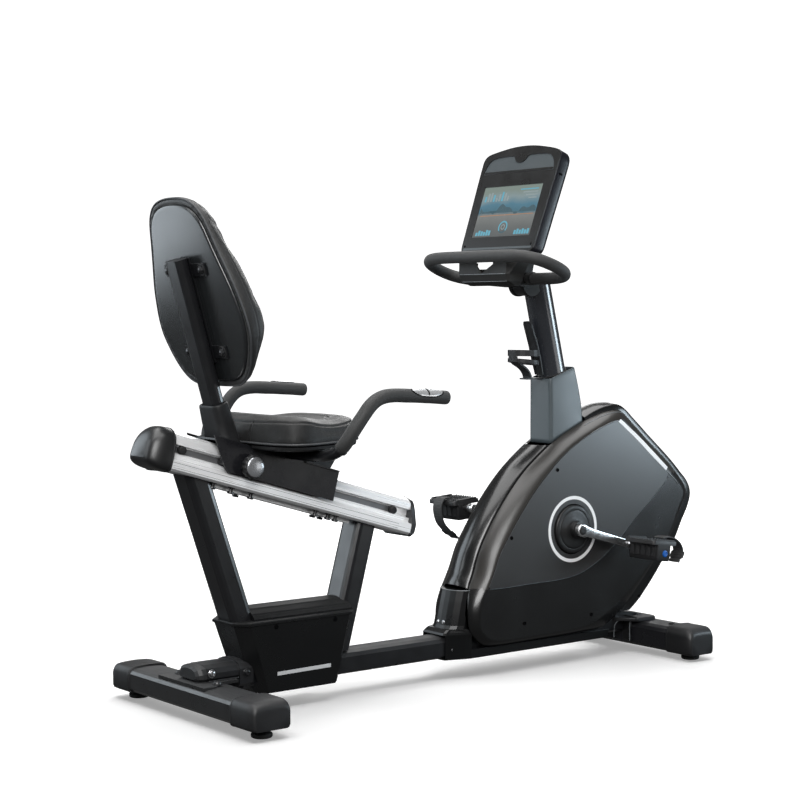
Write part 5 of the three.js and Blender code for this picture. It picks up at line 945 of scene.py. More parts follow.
# top panel seam just inside the upper edge, side seams in the boxing
top_line = []
for (x, y, z) in seat_ring(.925, 700): top_line.append((x, y, z))
top_on = on_surface(seat_pad, top_line + top_line[:1], 0, (0, 0, -1))
press_seam(seat_pad, [p[:3] for p in top_on], 2.0, 2.2, .3)
sides = []
for px, py in ((40, 60), ):
    for s in (1, -1):
        line = [(px, s * py, z) for z in np.linspace(607, 651, 16)]
        hit = on_surface(seat_pad, line, 0, (1, 0, 0))
        press_seam(seat_pad, [p[:3] for p in hit], 1.8, 1.8, .25)
        sides.append(hit)
# inner panel of the seat: a sewn oval that follows the outline
inner = seat_ring(.60, 700)
in_on = on_surface(seat_pad, inner + inner[:1], 0, (0, 0, -1))
press_seam(seat_pad, [p[:3] for p in in_on], 1.7, 2.4, .35)
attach(seat_pad, 'seat'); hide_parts('seat_cushion')
stitches('seat_stitch_top', [(p[0] + (246 - p[0]) * .022, p[1] * .978, *p[2:]) for p in on_surface(seat_pad, [(x + (246 - x) * .018, y * .982, 700) for x, y, z in top_line + top_line[:1]], .15, (0, 0, -1))], 'seat')
stitches('seat_stitch_inner', on_surface(seat_pad, [(x + (246 - x) * .02, y * .98, 700) for x, y, z in inner + inner[:1]], .15, (0, 0, -1)), 'seat')
v, f = tube(spaced([tuple(p) for p in seat_ring(.993, 606.0)], 220, True), 2.5, 12, (0, 0, 1), True)
new_obj('seat_piping', v, f, PIPING, 'seat', angle=None)

outl = [(0, 0), (40, .4), (70, 1.4), (92, 4), (109, 10), (125, 20), (141, 36), (157, 59), (171, 88), (181, 118), (183, 146), (180, 175), (168, 229), (147, 287), (131, 332), (118, 371), (106, 394), (88, 413), (66, 424.5), (40, 430.5), (20, 432.5), (0, 433)]
# share of the full cushion thickness at each height: thin at the foot, fullest at the lumbar swell
SWV = (-20, 10, 37, 70, 103, 128, 165, 200, 270, 319, 378, 450); SWT = (.22, .28, .42, .6, .84, .98, 1.04, 1.02, .97, .83, .72, .64)
def thick(d, v_):
    return 12.4 + (d - 12.4) * float(np.interp(v_, SWV, SWT)) if d > 13 else d
out_full = outl + [(-y, v_) for y, v_ in reversed(outl[1:-1])]
out_full = [tuple(q) for q in crom(out_full, 4, True)]
def back_ring(k, d, off=0.0, dome=0.0):
    res = []
    for y, v_ in out_full:
        vv = 205 + (v_ - 205) * k + off; yy = y * k
        res.append(back(vv, yy, thick(d, vv) + dome))
    return res
def bowl(y, v_):       # the front of the backrest: a lumbar swell low down, a slight hollow across
    return 5.5 * math.exp(-((v_ - 120) / 70.0) ** 2) + 2.5 * math.exp(-((v_ - 350) / 60.0) ** 2) - 3.0 * math.exp(-(y / 70.0) ** 2)
def back_ringb(k, d, off=0.0):
    res = []
    for y, v_ in out_full:
        vv = 205 + (v_ - 205) * k + off; yy = y * k
        res.append(back(vv, yy, thick(d, vv) + bowl(yy, vv) * (1 if k < .9 else .35)))
    return res
v, f = loft([back_ring(.884, .1), back_ring(.901, .3), back_ring(.912, 1.2), back_ring(.918, 2.6), back_ring(.920, 5), back_ring(.920, 11), back_ring(.91, 12)])
new_obj('back_shell', v, f, PANEL, 'seat', rep=('back_panel',), angle=50)
brings = [back_ring(.903, 11.0), back_ring(.920, 6.4), back_ring(.938, 3.8), back_ring(.958, 3.4), back_ring(.976, 5.0), back_ring(.985, 8.5), back_ring(.990, 14), back_ring(.99, 22), back_ring(.982, 32, -2), back_ring(.968, 42, -4.5), back_ring(.945, 50, -6), back_ringb(.90, 55.5, -7), back_ringb(.84, 58.5, -7.5), back_ringb(.72, 60.5, -7.5), back_ringb(.50, 61, -6), back_ringb(.28, 61, -4), back_ringb(.10, 61, -2)]
bn = Vector((BC, 0, BS)); b0 = Vector(W(back(0, 0, 0)))
depth_of = lambda c: (c - np.array(b0)).dot(np.array(bn))
back_pad = cushion('back_cushion_pad', brings, VINYL, 4.8, 3.6, 6.5, lambda c: depth_of(c) < .0125)
co = coords(back_pad.data); dd = depth_of(co)
co += np.maximum(.0030 - dd, 0)[:, None] * np.array(bn)
set_coords(back_pad.data, co)
look = (-BC, 0, -BS)
rim = [back(205 + (v_ - 205) * .88 - 4, y * .88, 120) for y, v_ in out_full]
rim_on = on_surface(back_pad, rim + rim[:1], 0, look)
press_seam(back_pad, [p[:3] for p in rim_on], 2.2, 2.4, .3)
midp = [back(205 + (v_ - 205) * .60 - 6, y * .56, 120) for y, v_ in out_full]
mid_on = on_surface(back_pad, midp + midp[:1], 0, look)
press_seam(back_pad, [p[:3] for p in mid_on], 2.2, 2.8, .4)
for k, vv in enumerate((128, 205, 282)):
    hw = 92 if k == 0 else (96 if k == 1 else 78)
    ln = [back(vv + .0009 * y * y, y, 120) for y in np.linspace(-hw, hw, 40)]
    press_seam(back_pad, [p[:3] for p in on_surface(back_pad, ln, 0, look)], 2.4, 3.2, .45)
# the rim's own seam halfway through the thickness
for s, dep in ((1, 33),):
    ln = back_ring(1.02, dep, -2)
    press_seam(back_pad, [p[:3] for p in on_surface(back_pad, ln + ln[:1], 0)], 1.3, 1.6, .3)
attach(back_pad, 'seat'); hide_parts('back_cushion')
stitches('back_stitch_rim', on_surface(back_pad, [back(205 + (v_ - 205) * .865 - 4, y * .865, 120) for y, v_ in out_full + out_full[:1]], .15, look), 'seat')
stitches('back_stitch_mid', on_surface(back_pad, [back(205 + (v_ - 205) * .58 - 6, y * .54, 120) for y, v_ in out_full + out_full[:1]], .15, look), 'seat')
v, f = tube(spaced(back_ring(.9835, 6.4), 240, True), 2.0, 12, (bn.x, bn.y, bn.z), True)
new_obj('back_piping', v, f, PIPING, 'seat', angle=None)
for i, vv in enumerate((84, 270)):
    for y in (68, -68):
        bolt(f'back_bolt_{i}_{"lr"[y < 0]}', back(vv, y, -3.8), (-BC, 0, -BS), 7.6, 8.6, OXIDE, 'seat', 24, 12.0)
        v, f = turn(back(vv, y, -3.2), (-BC, 0, -BS), [(5, 0), (14.6, 0), (14.6, 1.2), (13.6, 2.0), (10, 2.2), (5, 2.2)], 40)
        new_obj(f'back_washer_{i}_{"lr"[y < 0]}', v, f, RUBBER, 'seat', angle=34)

def rrect(xc, hx, hy, rr, m=8):
    out = []; r = min(hx, hy) * rr
    for sx, sy, a0 in ((1, 1, 0), (-1, 1, 90), (-1, -1, 180), (1, -1, 270)):
        for i in range(m + 1):
            w = math.radians(a0 + 90 * i / m)
            out.append((xc + sx * (hx - r) + math.cos(w) * r, sy * (hy - r) + math.sin(w) * r))
    return out
def boot_low(hx, hy, dc, h=95.9, rr=.8):
    res = []
    for d_, y in rrect(dc, hx, hy, rr):
        p0 = back(0, y, d_); hp = p0[0] * SA + (p0[2] - RAIL_Z0) * CA; hd = -BS * SA + BC * CA
        res.append(back((h - hp) / hd, y, d_))
    return res
def boot_ring(v_, hx, hy, dc=-20, rr=.8): return [back(v_, y, d_) for d_, y in rrect(dc, hx, hy, rr)]
v, f = loft([boot_low(24.6, 46, -20), boot_low(24.6, 46, -20, 100), boot_low(24.2, 45.2, -20, 104), boot_ring(-96, 23.6, 43.6), boot_ring(-66, 23, 42), boot_ring(-44, 21.2, 40.6), boot_ring(-35, 20.6, 40.0), boot_ring(-31.5, 19.9, 39.0), boot_ring(-30, 18.2, 36.8), boot_ring(-31, 16.8, 31.8)], cap=False)
BOOTM = make_mat('boot_black', (.0115, .0118, .0128), .52, spec=.26, grain=((1500, .22, .0003), (300, .05, .0005)), var=.10, rvar=.05, rscale=30, edge=.05, dust=.03)
new_obj('boot_skin', v, f, BOOTM, 'seat', rep=('post_boot',), angle=60, solid=1.6)

# ------------------------------------------------------------------ seat hand bars
hbHalf = [(481, 278, 702), (424, 278, 706.5), (372, 278, 709.5), (338, 278, 711), (311, 278, 709), (290, 278, 702), (272, 277.5, 689), (256, 276, 670), (242, 272, 650), (229, 266, 628), (220, 256, 608), (216, 241, 593), (215, 220, 584), (216, 195, 578.5), (218, 160, 575.5), (219, 120, 575), (219, 70, 575), (219, 20, 575)]
hb = [tuple(p) for p in crom(hbHalf, 8)]
full = hb + [(x, -y, z) for x, y, z in reversed(hb)]
v, f = tube(spaced(full, 260), 12.4, 28)
new_obj('seat_bar', v, f, PAINT, 'seat', rep=('seat_handlebar',), angle=None)
hbs = spaced(hb[: len(hb)], 400)
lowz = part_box('grip_left')[0].z * 1000 + 2
k_end = next(k for k, p in enumerate(hbs) if p[2] - 9 < lowz)
for s, n in ((1, 'left'), (-1, 'right')):
    P = [(490.0, 278, 701.3)] + [q for q in hbs[:k_end]]
    P = spaced(P, 110)
    P = [(x, s * y, z) for x, y, z in P]
    def rad(t):
        if t < .012: return 15.6 * math.sqrt(max(1 - ((.012 - t) / .0125) ** 2, .02))
        if t > .985: return 15.6 - 2.2 * ((t - .985) / .015) ** 2
        return 15.6 + .12 * math.sin(t * 40)
    dense = [P[0]] + [tuple(Vector(P[0]).lerp(Vector(P[1]), q)) for q in (.12, .3, .6)] + P[1:]
    K = len(dense)
    d = [0]
    for a, b in zip(dense, dense[1:]): d.append(d[-1] + (Vector(b) - Vector(a)).length)
    rr = [rad(x / d[-1]) for x in d]
    v, f = tube(dense, lambda t: rr[int(round(t * (K - 1)))], 32)
    new_obj('foam_' + n, v, f, FOAM, 'seat', rep=('grip_' + n,), angle=None)
    e = dense[-1]; e0 = dense[-3]
    dr = (Vector(e) - Vector(e0)).normalized()
    v, f = turn(tuple(Vector(e) - dr * 1.0), tuple(dr), [(12.2, 0), (15.4, 0), (15.9, 1.2), (15.9, 5), (15.0, 6.6), (12.6, 7.2)], 36)
    new_obj('grip_collar_' + n, v, f, PLASTIC, 'seat', angle=34)
    # contact plates on top of the grip, an oval with a dark bar between the halves
    def axis_at(x):
        xs = [q[0] for q in hbs[:220]][::-1]; zs = [q[2] for q in hbs[:220]][::-1]
        return float(np.interp(x, xs, zs))
    def patch(hx, ha, h0, h1, edge, xc=424, flat=None):
        V, F = [], []; NR, NT = 10, 72
        for i in range(NR + 1):
            for j in range(NT):
                rho = i / NR; w = 2 * math.pi * j / NT
                a = .68 + rho * math.sin(w) * ha; x = xc + rho * math.cos(w) * hx
                R = h0 + (h1 - h0) * (1 - rho ** edge)
                V.append((x, s * (278 + 0) + s * math.sin(a) * R, axis_at(x) + math.cos(a) * R))
        for i in range(NR):
            for j in range(NT):
                k = (j + 1) % NT
                F.append((i * NT + j, i * NT + k, (i + 1) * NT + k, (i + 1) * NT + j))
        # skirt down into the foam
        o = len(V)
        for j in range(NT):
            w = 2 * math.pi * j / NT; a = .68 + math.sin(w) * ha; x = xc + math.cos(w) * hx
            V.append((x, s * 278 + s * math.sin(a) * (h0 - 2.2), axis_at(x) + math.cos(a) * (h0 - 2.2)))
        for j in range(NT):
            k = (j + 1) % NT
            F.append((NR * NT + j, NR * NT + k, o + k, o + j))
        F.append(tuple(range(o, o + NT)))
        return V, F
    v, f = patch(45.5, 1.02, 15.9, 17.0, 8)
    new_obj('sensor_rim_' + n, v, f, DARK, 'seat', rep=('pulse_sensor_' + n,), angle=34)
    v, f = patch(42.0, .90, 17.0, 17.9, 6)
    new_obj('sensor_plate_' + n, v, f, SENS, 'seat', angle=34)
    v, f = patch(2.8, .80, 17.7, 18.25, 6)
    new_obj('sensor_bar_' + n, v, f, DARK, 'seat', angle=34)

# ------------------------------------------------------------------ console: loop, bracket, housing, display
hlSide = [(803, 0), (803, 40), (803, 82), (803.5, 118), (806, 152), (814, 181), (831, 204), (856, 216), (884, 219), (910, 211), (929, 191), (939, 163), (943, 120), (943, 45), (943, 0)]
hl_at = lambda x, y: (x, y, 1029 - .384 * (x - 803))
raw = [hl_at(x, y) for x, y in hlSide] + [hl_at(x, -y) for x, y in reversed(hlSide[1:-1])]
hn = Vector((976 - 1029, 0, -(941 - 803))).normalized()
v, f = tube(spaced([tuple(p) for p in crom(raw, 8, True)], 200, True), 15.0, 32, (hn.x, hn.y, hn.z), True)
new_obj('loop_foam', v, f, FOAM, 'console', rep=('handlebar_loop',), angle=None)
for s, n in ((1, 'left'), (-1, 'right')):
    c = hl_at(943, s * 66)
    v, f = turn(tuple(Vector(c) - Vector((0, s * 4, 0))), (0, s, 0), [(14.6, 0), (15.9, .8), (16.2, 2), (16.2, 6), (15.9, 7.2), (14.6, 8)], 40, True)
    new_obj('loop_collar_' + n, v, f, PLASTIC, 'console', angle=34)
dress('console_bracket', TRAYM, 1.6, 3, 40, 28)
# light lines along the tray's front edges: painted highlights
for i, (x, y, z) in enumerate(((831.4, 86.5, 986.2), (838.4, 84.5, 968.2))):
    v, f = tube([(x, q, z) for q in np.linspace(-y, y, 40)], .85, 10, (0, 0, 1))
    new_obj(f'tray_edge_{i}', v, f, PAINTED_HIGHLIGHT, 'console', angle=None)

LT = math.radians(20.2); LS, LC = math.sin(LT), math.cos(LT)
con = lambda L, y, d: (878 + L * LS + d * LC, y, 1052 + L * LC - d * LS)
conHalf = [(0, -15.2), (60, -15), (104, -14.6), (121, -13.2), (130, -9.5), (134.6, -4), (136.8, 4), (138.2, 40), (140, 100), (141.9, 150), (143.4, 200), (143.9, 224), (143.8, 238), (141.6, 247), (136, 254), (126, 259.4), (104, 264.6), (80, 269), (42, 274.4), (0, 276.5)]
con_out = conHalf + [(-y, L) for y, L in reversed(conHalf[1:-1])]
con_out = [tuple(q) for q in crom(con_out, 4, True)]
cring = lambda k, d, dL=0.0: [con(128 + (L - 128) * (1 - k / 140) + dL, y * (1 - k / 136), d) for y, L in con_out]
CONS = make_mat('console_gloss', (.0090, .0090, .0125), .32, spec=.24, coat=.06, coat_rough=.2, grain=((8, .05, .003), (900, .02, .0002)), var=.08, rvar=.05, rscale=20, dust=.03)
FASC = make_mat('console_face', (.0120, .0116, .0114), .32, spec=.42, coat=.12, coat_rough=.22, grain=((900, .06, .0002),), var=.08, rvar=.05, rscale=26, dust=.03)
BAND = make_mat('console_band', (.062, .072, .077), .32, spec=.55, coat=.2, coat_rough=.18, grain=((700, .06, .0002),), var=.05, rvar=.05, rscale=26)
v, f = loft([cring(1.5, 2.6), cring(.7, 3.0), cring(.2, 4.2), cring(0, 6.0), cring(0, 27), cring(.6, 30.5), cring(1.8, 34), cring(3.6, 37.6), cring(6.4, 40.8), cring(10, 43.4), cring(14, 45)])
new_obj('console_body', v, f, CONS, 'console', rep=('console_housing',), angle=50)

def con_plate(name, loops, mat, d0, d1, bevel=None, body='console'):
    bm = bmesh.new()
    for L_ in loops:
        vs = [bm.verts.new(W(con(L, y, d0))) for y, L in L_]
        for a, b in zip(vs, vs[1:] + vs[:1]): bm.edges.new((a, b))
    bmesh.ops.triangle_fill(bm, use_beauty=True, use_dissolve=False, edges=bm.edges[:])
    r = bmesh.ops.extrude_face_region(bm, geom=bm.faces[:])
    mv = [e for e in r['geom'] if isinstance(e, bmesh.types.BMVert)]
    n = Vector(W(con(0, 0, d1))) - Vector(W(con(0, 0, d0)))
    bmesh.ops.translate(bm, verts=mv, vec=n)
    bmesh.ops.recalc_face_normals(bm, faces=bm.faces)
    me = bpy.data.meshes.new(name); bm.to_mesh(me); bm.free()
    ob = bpy.data.objects.new(name, me); coll.objects.link(ob); me.materials.append(mat)
    finish_mesh(ob, 30)
    if bevel: add_bevel(ob, *bevel)
    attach(ob, body)
    return ob

def rbox(y0, y1, L0, L1, r, m=6):
    out = []
    for cy, cL, a0 in ((y1 - r, L1 - r, 0), (y0 + r, L1 - r, 90), (y0 + r, L0 + r, 180), (y1 - r, L0 + r, 270)):
        for i in range(m + 1):
            w = math.radians(a0 + 90 * i / m); out.append((cy + math.cos(w) * r, cL + math.sin(w) * r))
    return out
face_out = [(y * (1 - 1.0 / 136), 128 + (L - 128) * (1 - 1.0 / 140)) for y, L in con_out]
win = rbox(-109, 109, 31, 168, 2.0)
pocket = [(-131, 203), (-60, 203.5), (0, 203.5), (60, 203.5), (131, 203), (129.5, 212), (126, 224), (119, 236), (108, 244.5), (90, 248.4), (60, 249.6), (34, 249.4), (27, 247), (23.5, 242), (20, 236.5), (14, 232.2), (6, 230.2), (-2, 230.2), (-10, 232.4), (-16, 237), (-19.5, 242), (-23, 247), (-30, 249.4), (-60, 249.6), (-90, 248.4), (-108, 244.5), (-119, 236), (-126, 224), (-129.5, 212)]
con_plate('console_fascia', [face_out, win, pocket], FASC, 3.0, 0.0, (.7, 3, 40))
con_plate('console_pocket', [[(y * .999, 226 + (L - 226) * .998) for y, L in pocket]], BAND, 3.2, 1.9, (.3, 2, 40))
# raised lower shelf of the pocket, shading into the face
con_plate('console_shelf', [rbox(-127, 127, 204.5, 210.5, 2.6)], FASC, 3.0, .5, (.5, 3, 40))
# lower edge of the face: a brighter lip
con_plate('console_lip', [rbox(-128, 128, -3.4, 2.4, 2.6)], BAND, 2.0, -.6, (.5, 3, 40))
for s in (1, -1):
    v, f = turn(con(5.6 + 2, s * 124, .1), (-LC, 0, LS), [(.6, -1), (3.1, -1), (3.1, .3), (2.6, .6), (1.4, .6), (1.2, .1), (.1, .1)], 24)
    new_obj('console_dot_' + 'lr'[s < 0], v, f, DARK, 'console', angle=34)
# slot in the near side; the thin strip for finger buttons under the display is shaped below but not made into a piece
# the slot is a deep black band: painted shade for its opening
for s in (1, -1):
    ring = [con(L, s * (143.4 + .55), d) for L, d in [(196 + 3 * math.cos(w), 17 + 6.5 * math.sin(w)) for w in np.linspace(0, 2 * math.pi, 24, endpoint=False)]]
    ring2 = [(x, y - s * 1.5, z) for x, y, z in ring]
    v, f = loft([ring, ring2])
    new_obj('console_port_' + 'lr'[s < 0], v, f, DARK, 'console', angle=30)
v, f = merge(*[loft([[con(L, y, d) for y, d in q] for L, q in ((a, [(-134.5, 9), (134.5, 9), (134.5, 10.4), (-134.5, 10.4)]) for a in (-15.9, -15.0))])])
# lit display: a generic picture of plain shapes
def lit(name, base, glow, strength):
    m = make_mat(name, base, .25, spec=.4, grain=((40, .02, .0002),), var=.06, rvar=.03)
    b = next(n for n in m.node_tree.nodes if n.type == 'BSDF_PRINCIPLED')
    b.inputs['Emission Color'].default_value = (*glow, 1)
    b.inputs['Emission Strength'].default_value = strength
    return m
def lit_ramp(name, stops, strength, scale=1.0):
    """picture ground: soft blocks of tone running up the screen"""
    m = bpy.data.materials.new(name); m.use_nodes = True
    nt = m.node_tree; nt.nodes.clear()
    out = _n(nt, 'ShaderNodeOutputMaterial', 700); b = _n(nt, 'ShaderNodeBsdfPrincipled', 450)
    nt.links.new(b.outputs[0], out.inputs[0])
    tc = _n(nt, 'ShaderNodeTexCoord', -900); sp = _n(nt, 'ShaderNodeSeparateXYZ', -700)
    nt.links.new(tc.outputs['Object'], sp.inputs[0])
    mr = _n(nt, 'ShaderNodeMapRange', -500)
    z0, z1 = con(31, 0, 0)[2] / 1000, con(168, 0, 0)[2] / 1000
    mr.inputs['From Min'].default_value = z0; mr.inputs['From Max'].default_value = z1
    nt.links.new(sp.outputs['Z'], mr.inputs['Value'])
    ns = _n(nt, 'ShaderNodeTexNoise', -700, -260); ns.inputs['Scale'].default_value = 16 * scale; ns.inputs['Detail'].default_value = 3
    nt.links.new(tc.outputs['Object'], ns.inputs['Vector'])
    ad = _n(nt, 'ShaderNodeMath', -320, -100, operation='MULTIPLY_ADD'); ad.inputs[1].default_value = .22
    nt.links.new(ns.outputs['Fac'], ad.inputs[0]); nt.links.new(mr.outputs[0], ad.inputs[2])
    cr = _n(nt, 'ShaderNodeValToRGB', -120)
    el = cr.color_ramp.elements
    while len(el) < len(stops): el.new(.5)
    for e, (p, c) in zip(el, stops):
        e.position = p; e.color = (*c, 1)
    nt.links.new(ad.outputs[0], cr.inputs['Fac'])
    nt.links.new(cr.outputs['Color'], b.inputs['Emission Color'])
    b.inputs['Emission Strength'].default_value = strength
    b.inputs['Base Color'].default_value = (.02, .02, .022, 1)
    b.inputs['Roughness'].default_value = .16
    b.inputs['Coat Weight'].default_value = .4
    MATS[name] = m
    return m
LIT0 = lit_ramp('display_ground', [(.0, (.075, .085, .085)), (.30, (.13, .14, .135)), (.52, (.20, .21, .20)), (.60, (.055, .15, .20)), (.74, (.07, .19, .26)), (.88, (.22, .29, .30)), (1.0, (.20, .25, .22))], .95)
LITC = lit('display_cyan', (.02, .05, .06), (.13, .40, .52), .8)
LITW = lit('display_pale', (.05, .05, .05), (.26, .33, .34), .8)
LITD = lit('display_dim', (.02, .02, .02), (.050, .115, .145), .8)
LITO = lit('display_warm', (.05, .03, .02), (.44, .24, .14), .7)
con_plate('display_ground', [rbox(-108.6, 108.6, 31.4, 167.6, 1.8)], LIT0, 2.9, 1.9)
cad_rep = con_plate('display_base', [rbox(-116, 116, 25.5, 176.5, 3)], DARK, 3.3, 2.6)
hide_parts('console_screen')
def tag_bar(name, y0, y1, L0, L1, mat, r=1.0, d=1.75): return con_plate(name, [rbox(y0, y1, L0, L1, r, 4)], mat, 2.0, d)
# rolling bars, two number-free readouts, a ring gauge and a trend line
for i in range(6):
    tag_bar(f'disp_read_a{i}', 98 - i * 9.6 - 7.6, 98 - i * 9.6, 36, 45 + (i * 5 % 7), LITC)
    tag_bar(f'disp_read_b{i}', -46 - i * 9.6 - 7.6, -46 - i * 9.6, 36, 45 + ((i * 3 + 2) % 6), LITC)
def ring_plate(name, cy, cL, r0, r1, a0, a1, mat, m=48):
    A = [math.radians(a0 + (a1 - a0) * k / m) for k in range(m + 1)]
    lp = [(cy + math.sin(a) * r1, cL + math.cos(a) * r1) for a in A] + [(cy + math.sin(a) * r0, cL + math.cos(a) * r0) for a in reversed(A)]
    return con_plate(name, [lp], mat, 2.0, 1.75)
ring_plate('disp_ring', 0, 57, 12.5, 16.5, -130, 130, LITC)
ring_plate('disp_ring_dim', 0, 57, 12.5, 16.5, 134, 226, LITD)
ring_plate('disp_ring_in', 0, 57, 5.0, 7.2, 0, 359, LITW)
hill = [(-104, 96)] + [(-104 + 208 * k / 40, 96 + 13 * math.sin(k * .34) * math.exp(-((k - 22) / 18) ** 2) + 9 + 5 * math.sin(k * .8)) for k in range(41)] + [(104, 96)]
con_plate('disp_trend', [hill], LITD, 2.0, 1.82)
for i in range(9):
    h = 8 + 17 * abs(math.sin(i * .7 + .4))
    tag_bar(f'disp_bar_{i}', 98 - i * 10.5 - 6, 98 - i * 10.5, 128, 128 + h, LITW if i % 3 else LITC, .8)
for i in range(4):
    tag_bar(f'disp_line_{i}', -96, -30 - i * 12, 155 - i * 8, 158 - i * 8, LITW if i else LITC, .8)
tag_bar('disp_mark', -100, 100, 88.6, 90.6, LITO, .6)

# ------------------------------------------------------------------ cranks and pedals
spin = lambda s: (CRANK[0] + s * CRANK_LEN * DCR[0], CRANK[1] + s * CRANK_LEN * DCR[1])
PED = {'right': spin(1), 'left': spin(-1)}
for s, n in ((-1, 'right'), (1, 'left')):
    p = PED[n]; dirx = (1 if n == 'right' else -1)
    ux, uz = DCR[0] * dirx, DCR[1] * dirx
    def arm_ring(t, hw, y0, y1, r=3.0, m=4):
        cx, cz = CRANK[0] + ux * t, CRANK[1] + uz * t; nx, nz = -uz, ux
        out = []
        ym, hy = (y0 + y1) / 2, (y1 - y0) / 2
        for sx, sy, a0 in ((1, 1, 0), (-1, 1, 90), (-1, -1, 180), (1, -1, 270)):
            for i in range(m + 1):
                w = math.radians(a0 + 90 * i / m)
                a = sx * (hw - r) + math.cos(w) * r; b = sy * (hy - r) + math.sin(w) * r
                out.append((cx + nx * a, s * (ym + b), cz + nz * a))
        return out
    prof = [(-16.0, 1.6, .4), (-15.2, 5.6, .9), (-13.6, 8.6, .97), (-10.5, 12.0, 1), (-5.5, 15.0, 1), (0, 16.0, 1), (8, 15.8, 1), (18, 14.0, .97), (34, 12.2, .9), (60, 11.6, .84), (100, 11.2, .82), (135, 11.0, .84), (152, 11.2, .92), (162, 11.6, 1), (172, 11.6, 1), (177, 10.6, 1), (180.4, 8.0, .96), (182.4, 4.8, .88), (183.4, 1.4, .5)]
    rings = [arm_ring(t, max(hw, 1.2), 113.5 - 7.5 * q, 113.5 + 7.5 * q, min(3.4, max(hw, 1.2) * .8)) for t, hw, q in [tuple(x) for x in crom(prof, 3)]]
    v, f = loft(rings)
    new_obj('crank_bar_' + n, v, f, ARMC, 'crankset', rep=('crank_arm_' + n,), angle=50)
    c = (p[0], 0, p[1])
    # spindle, dust collar
    v, f = merge(turn((p[0], s * 116, p[1]), (0, s, 0), [(4, 0), (6.2, 0), (6.2, 124), (4, 124)], 32),
                 turn((p[0], s * 121.0, p[1]), (0, s, 0), [(5, 0), (10.6, 0), (10.8, .5), (10.8, 2.2), (9.0, 2.8), (9.0, 9.5), (7.4, 10.2), (7.4, 17.6), (6.0, 18)], 36))
    new_obj('pedal_spindle_' + n, v, f, STEEL, 'crankset', angle=34)
    # axle cap on the arm boss
    v, f = turn((CRANK[0], s * 120.9, CRANK[1]), (0, s, 0), [(2, -.6), (11.4, -.6), (11.4, .6), (10.8, 1.8), (9.4, 2.5), (5, 3.0), (4.6, 2.2), (.1, 2.2)], 48)
    new_obj('axle_cap_' + n, v, f, PLASTIC, 'crankset', angle=34)
    prof = [(12.2, 0), (60.2, 0), (61.2, 1.0), (61.5, 3), (61.5, 8.2), (60.8, 9.8), (58.6, 11.2), (57, 11.6), (51.0, 12.2), (50.2, 12.0), (49.7, 11.5), (49.2, 12.0), (48.4, 12.5), (44, 13.0), (38, 13.6), (30, 14.4), (24, 15.4), (21.2, 17.0), (20.0, 20.5), (19.4, 24.6), (18.8, 25.6), (17.6, 26), (12.2, 26)]
    v, f = turn((CRANK[0], s * 79, CRANK[1]), (0, s, 0), prof, 96, True)
    parts = [(v, f)]
    for k in range(48):     # fine knurl on the disc's edge
        w = 2 * math.pi * k / 48
        a = (CRANK[0] + math.cos(w) * 61.2, s * 81.5, CRANK[1] + math.sin(w) * 61.2); b = (a[0], s * 87.0, a[2])
        parts.append(tube([a, b], .8, 6, (math.cos(w), 0, math.sin(w))))
    v, f = merge(*parts)
    new_obj('crank_disc_' + n, v, f, DISC, 'crankset', rep=('crank_cover_' + n,), angle=34)

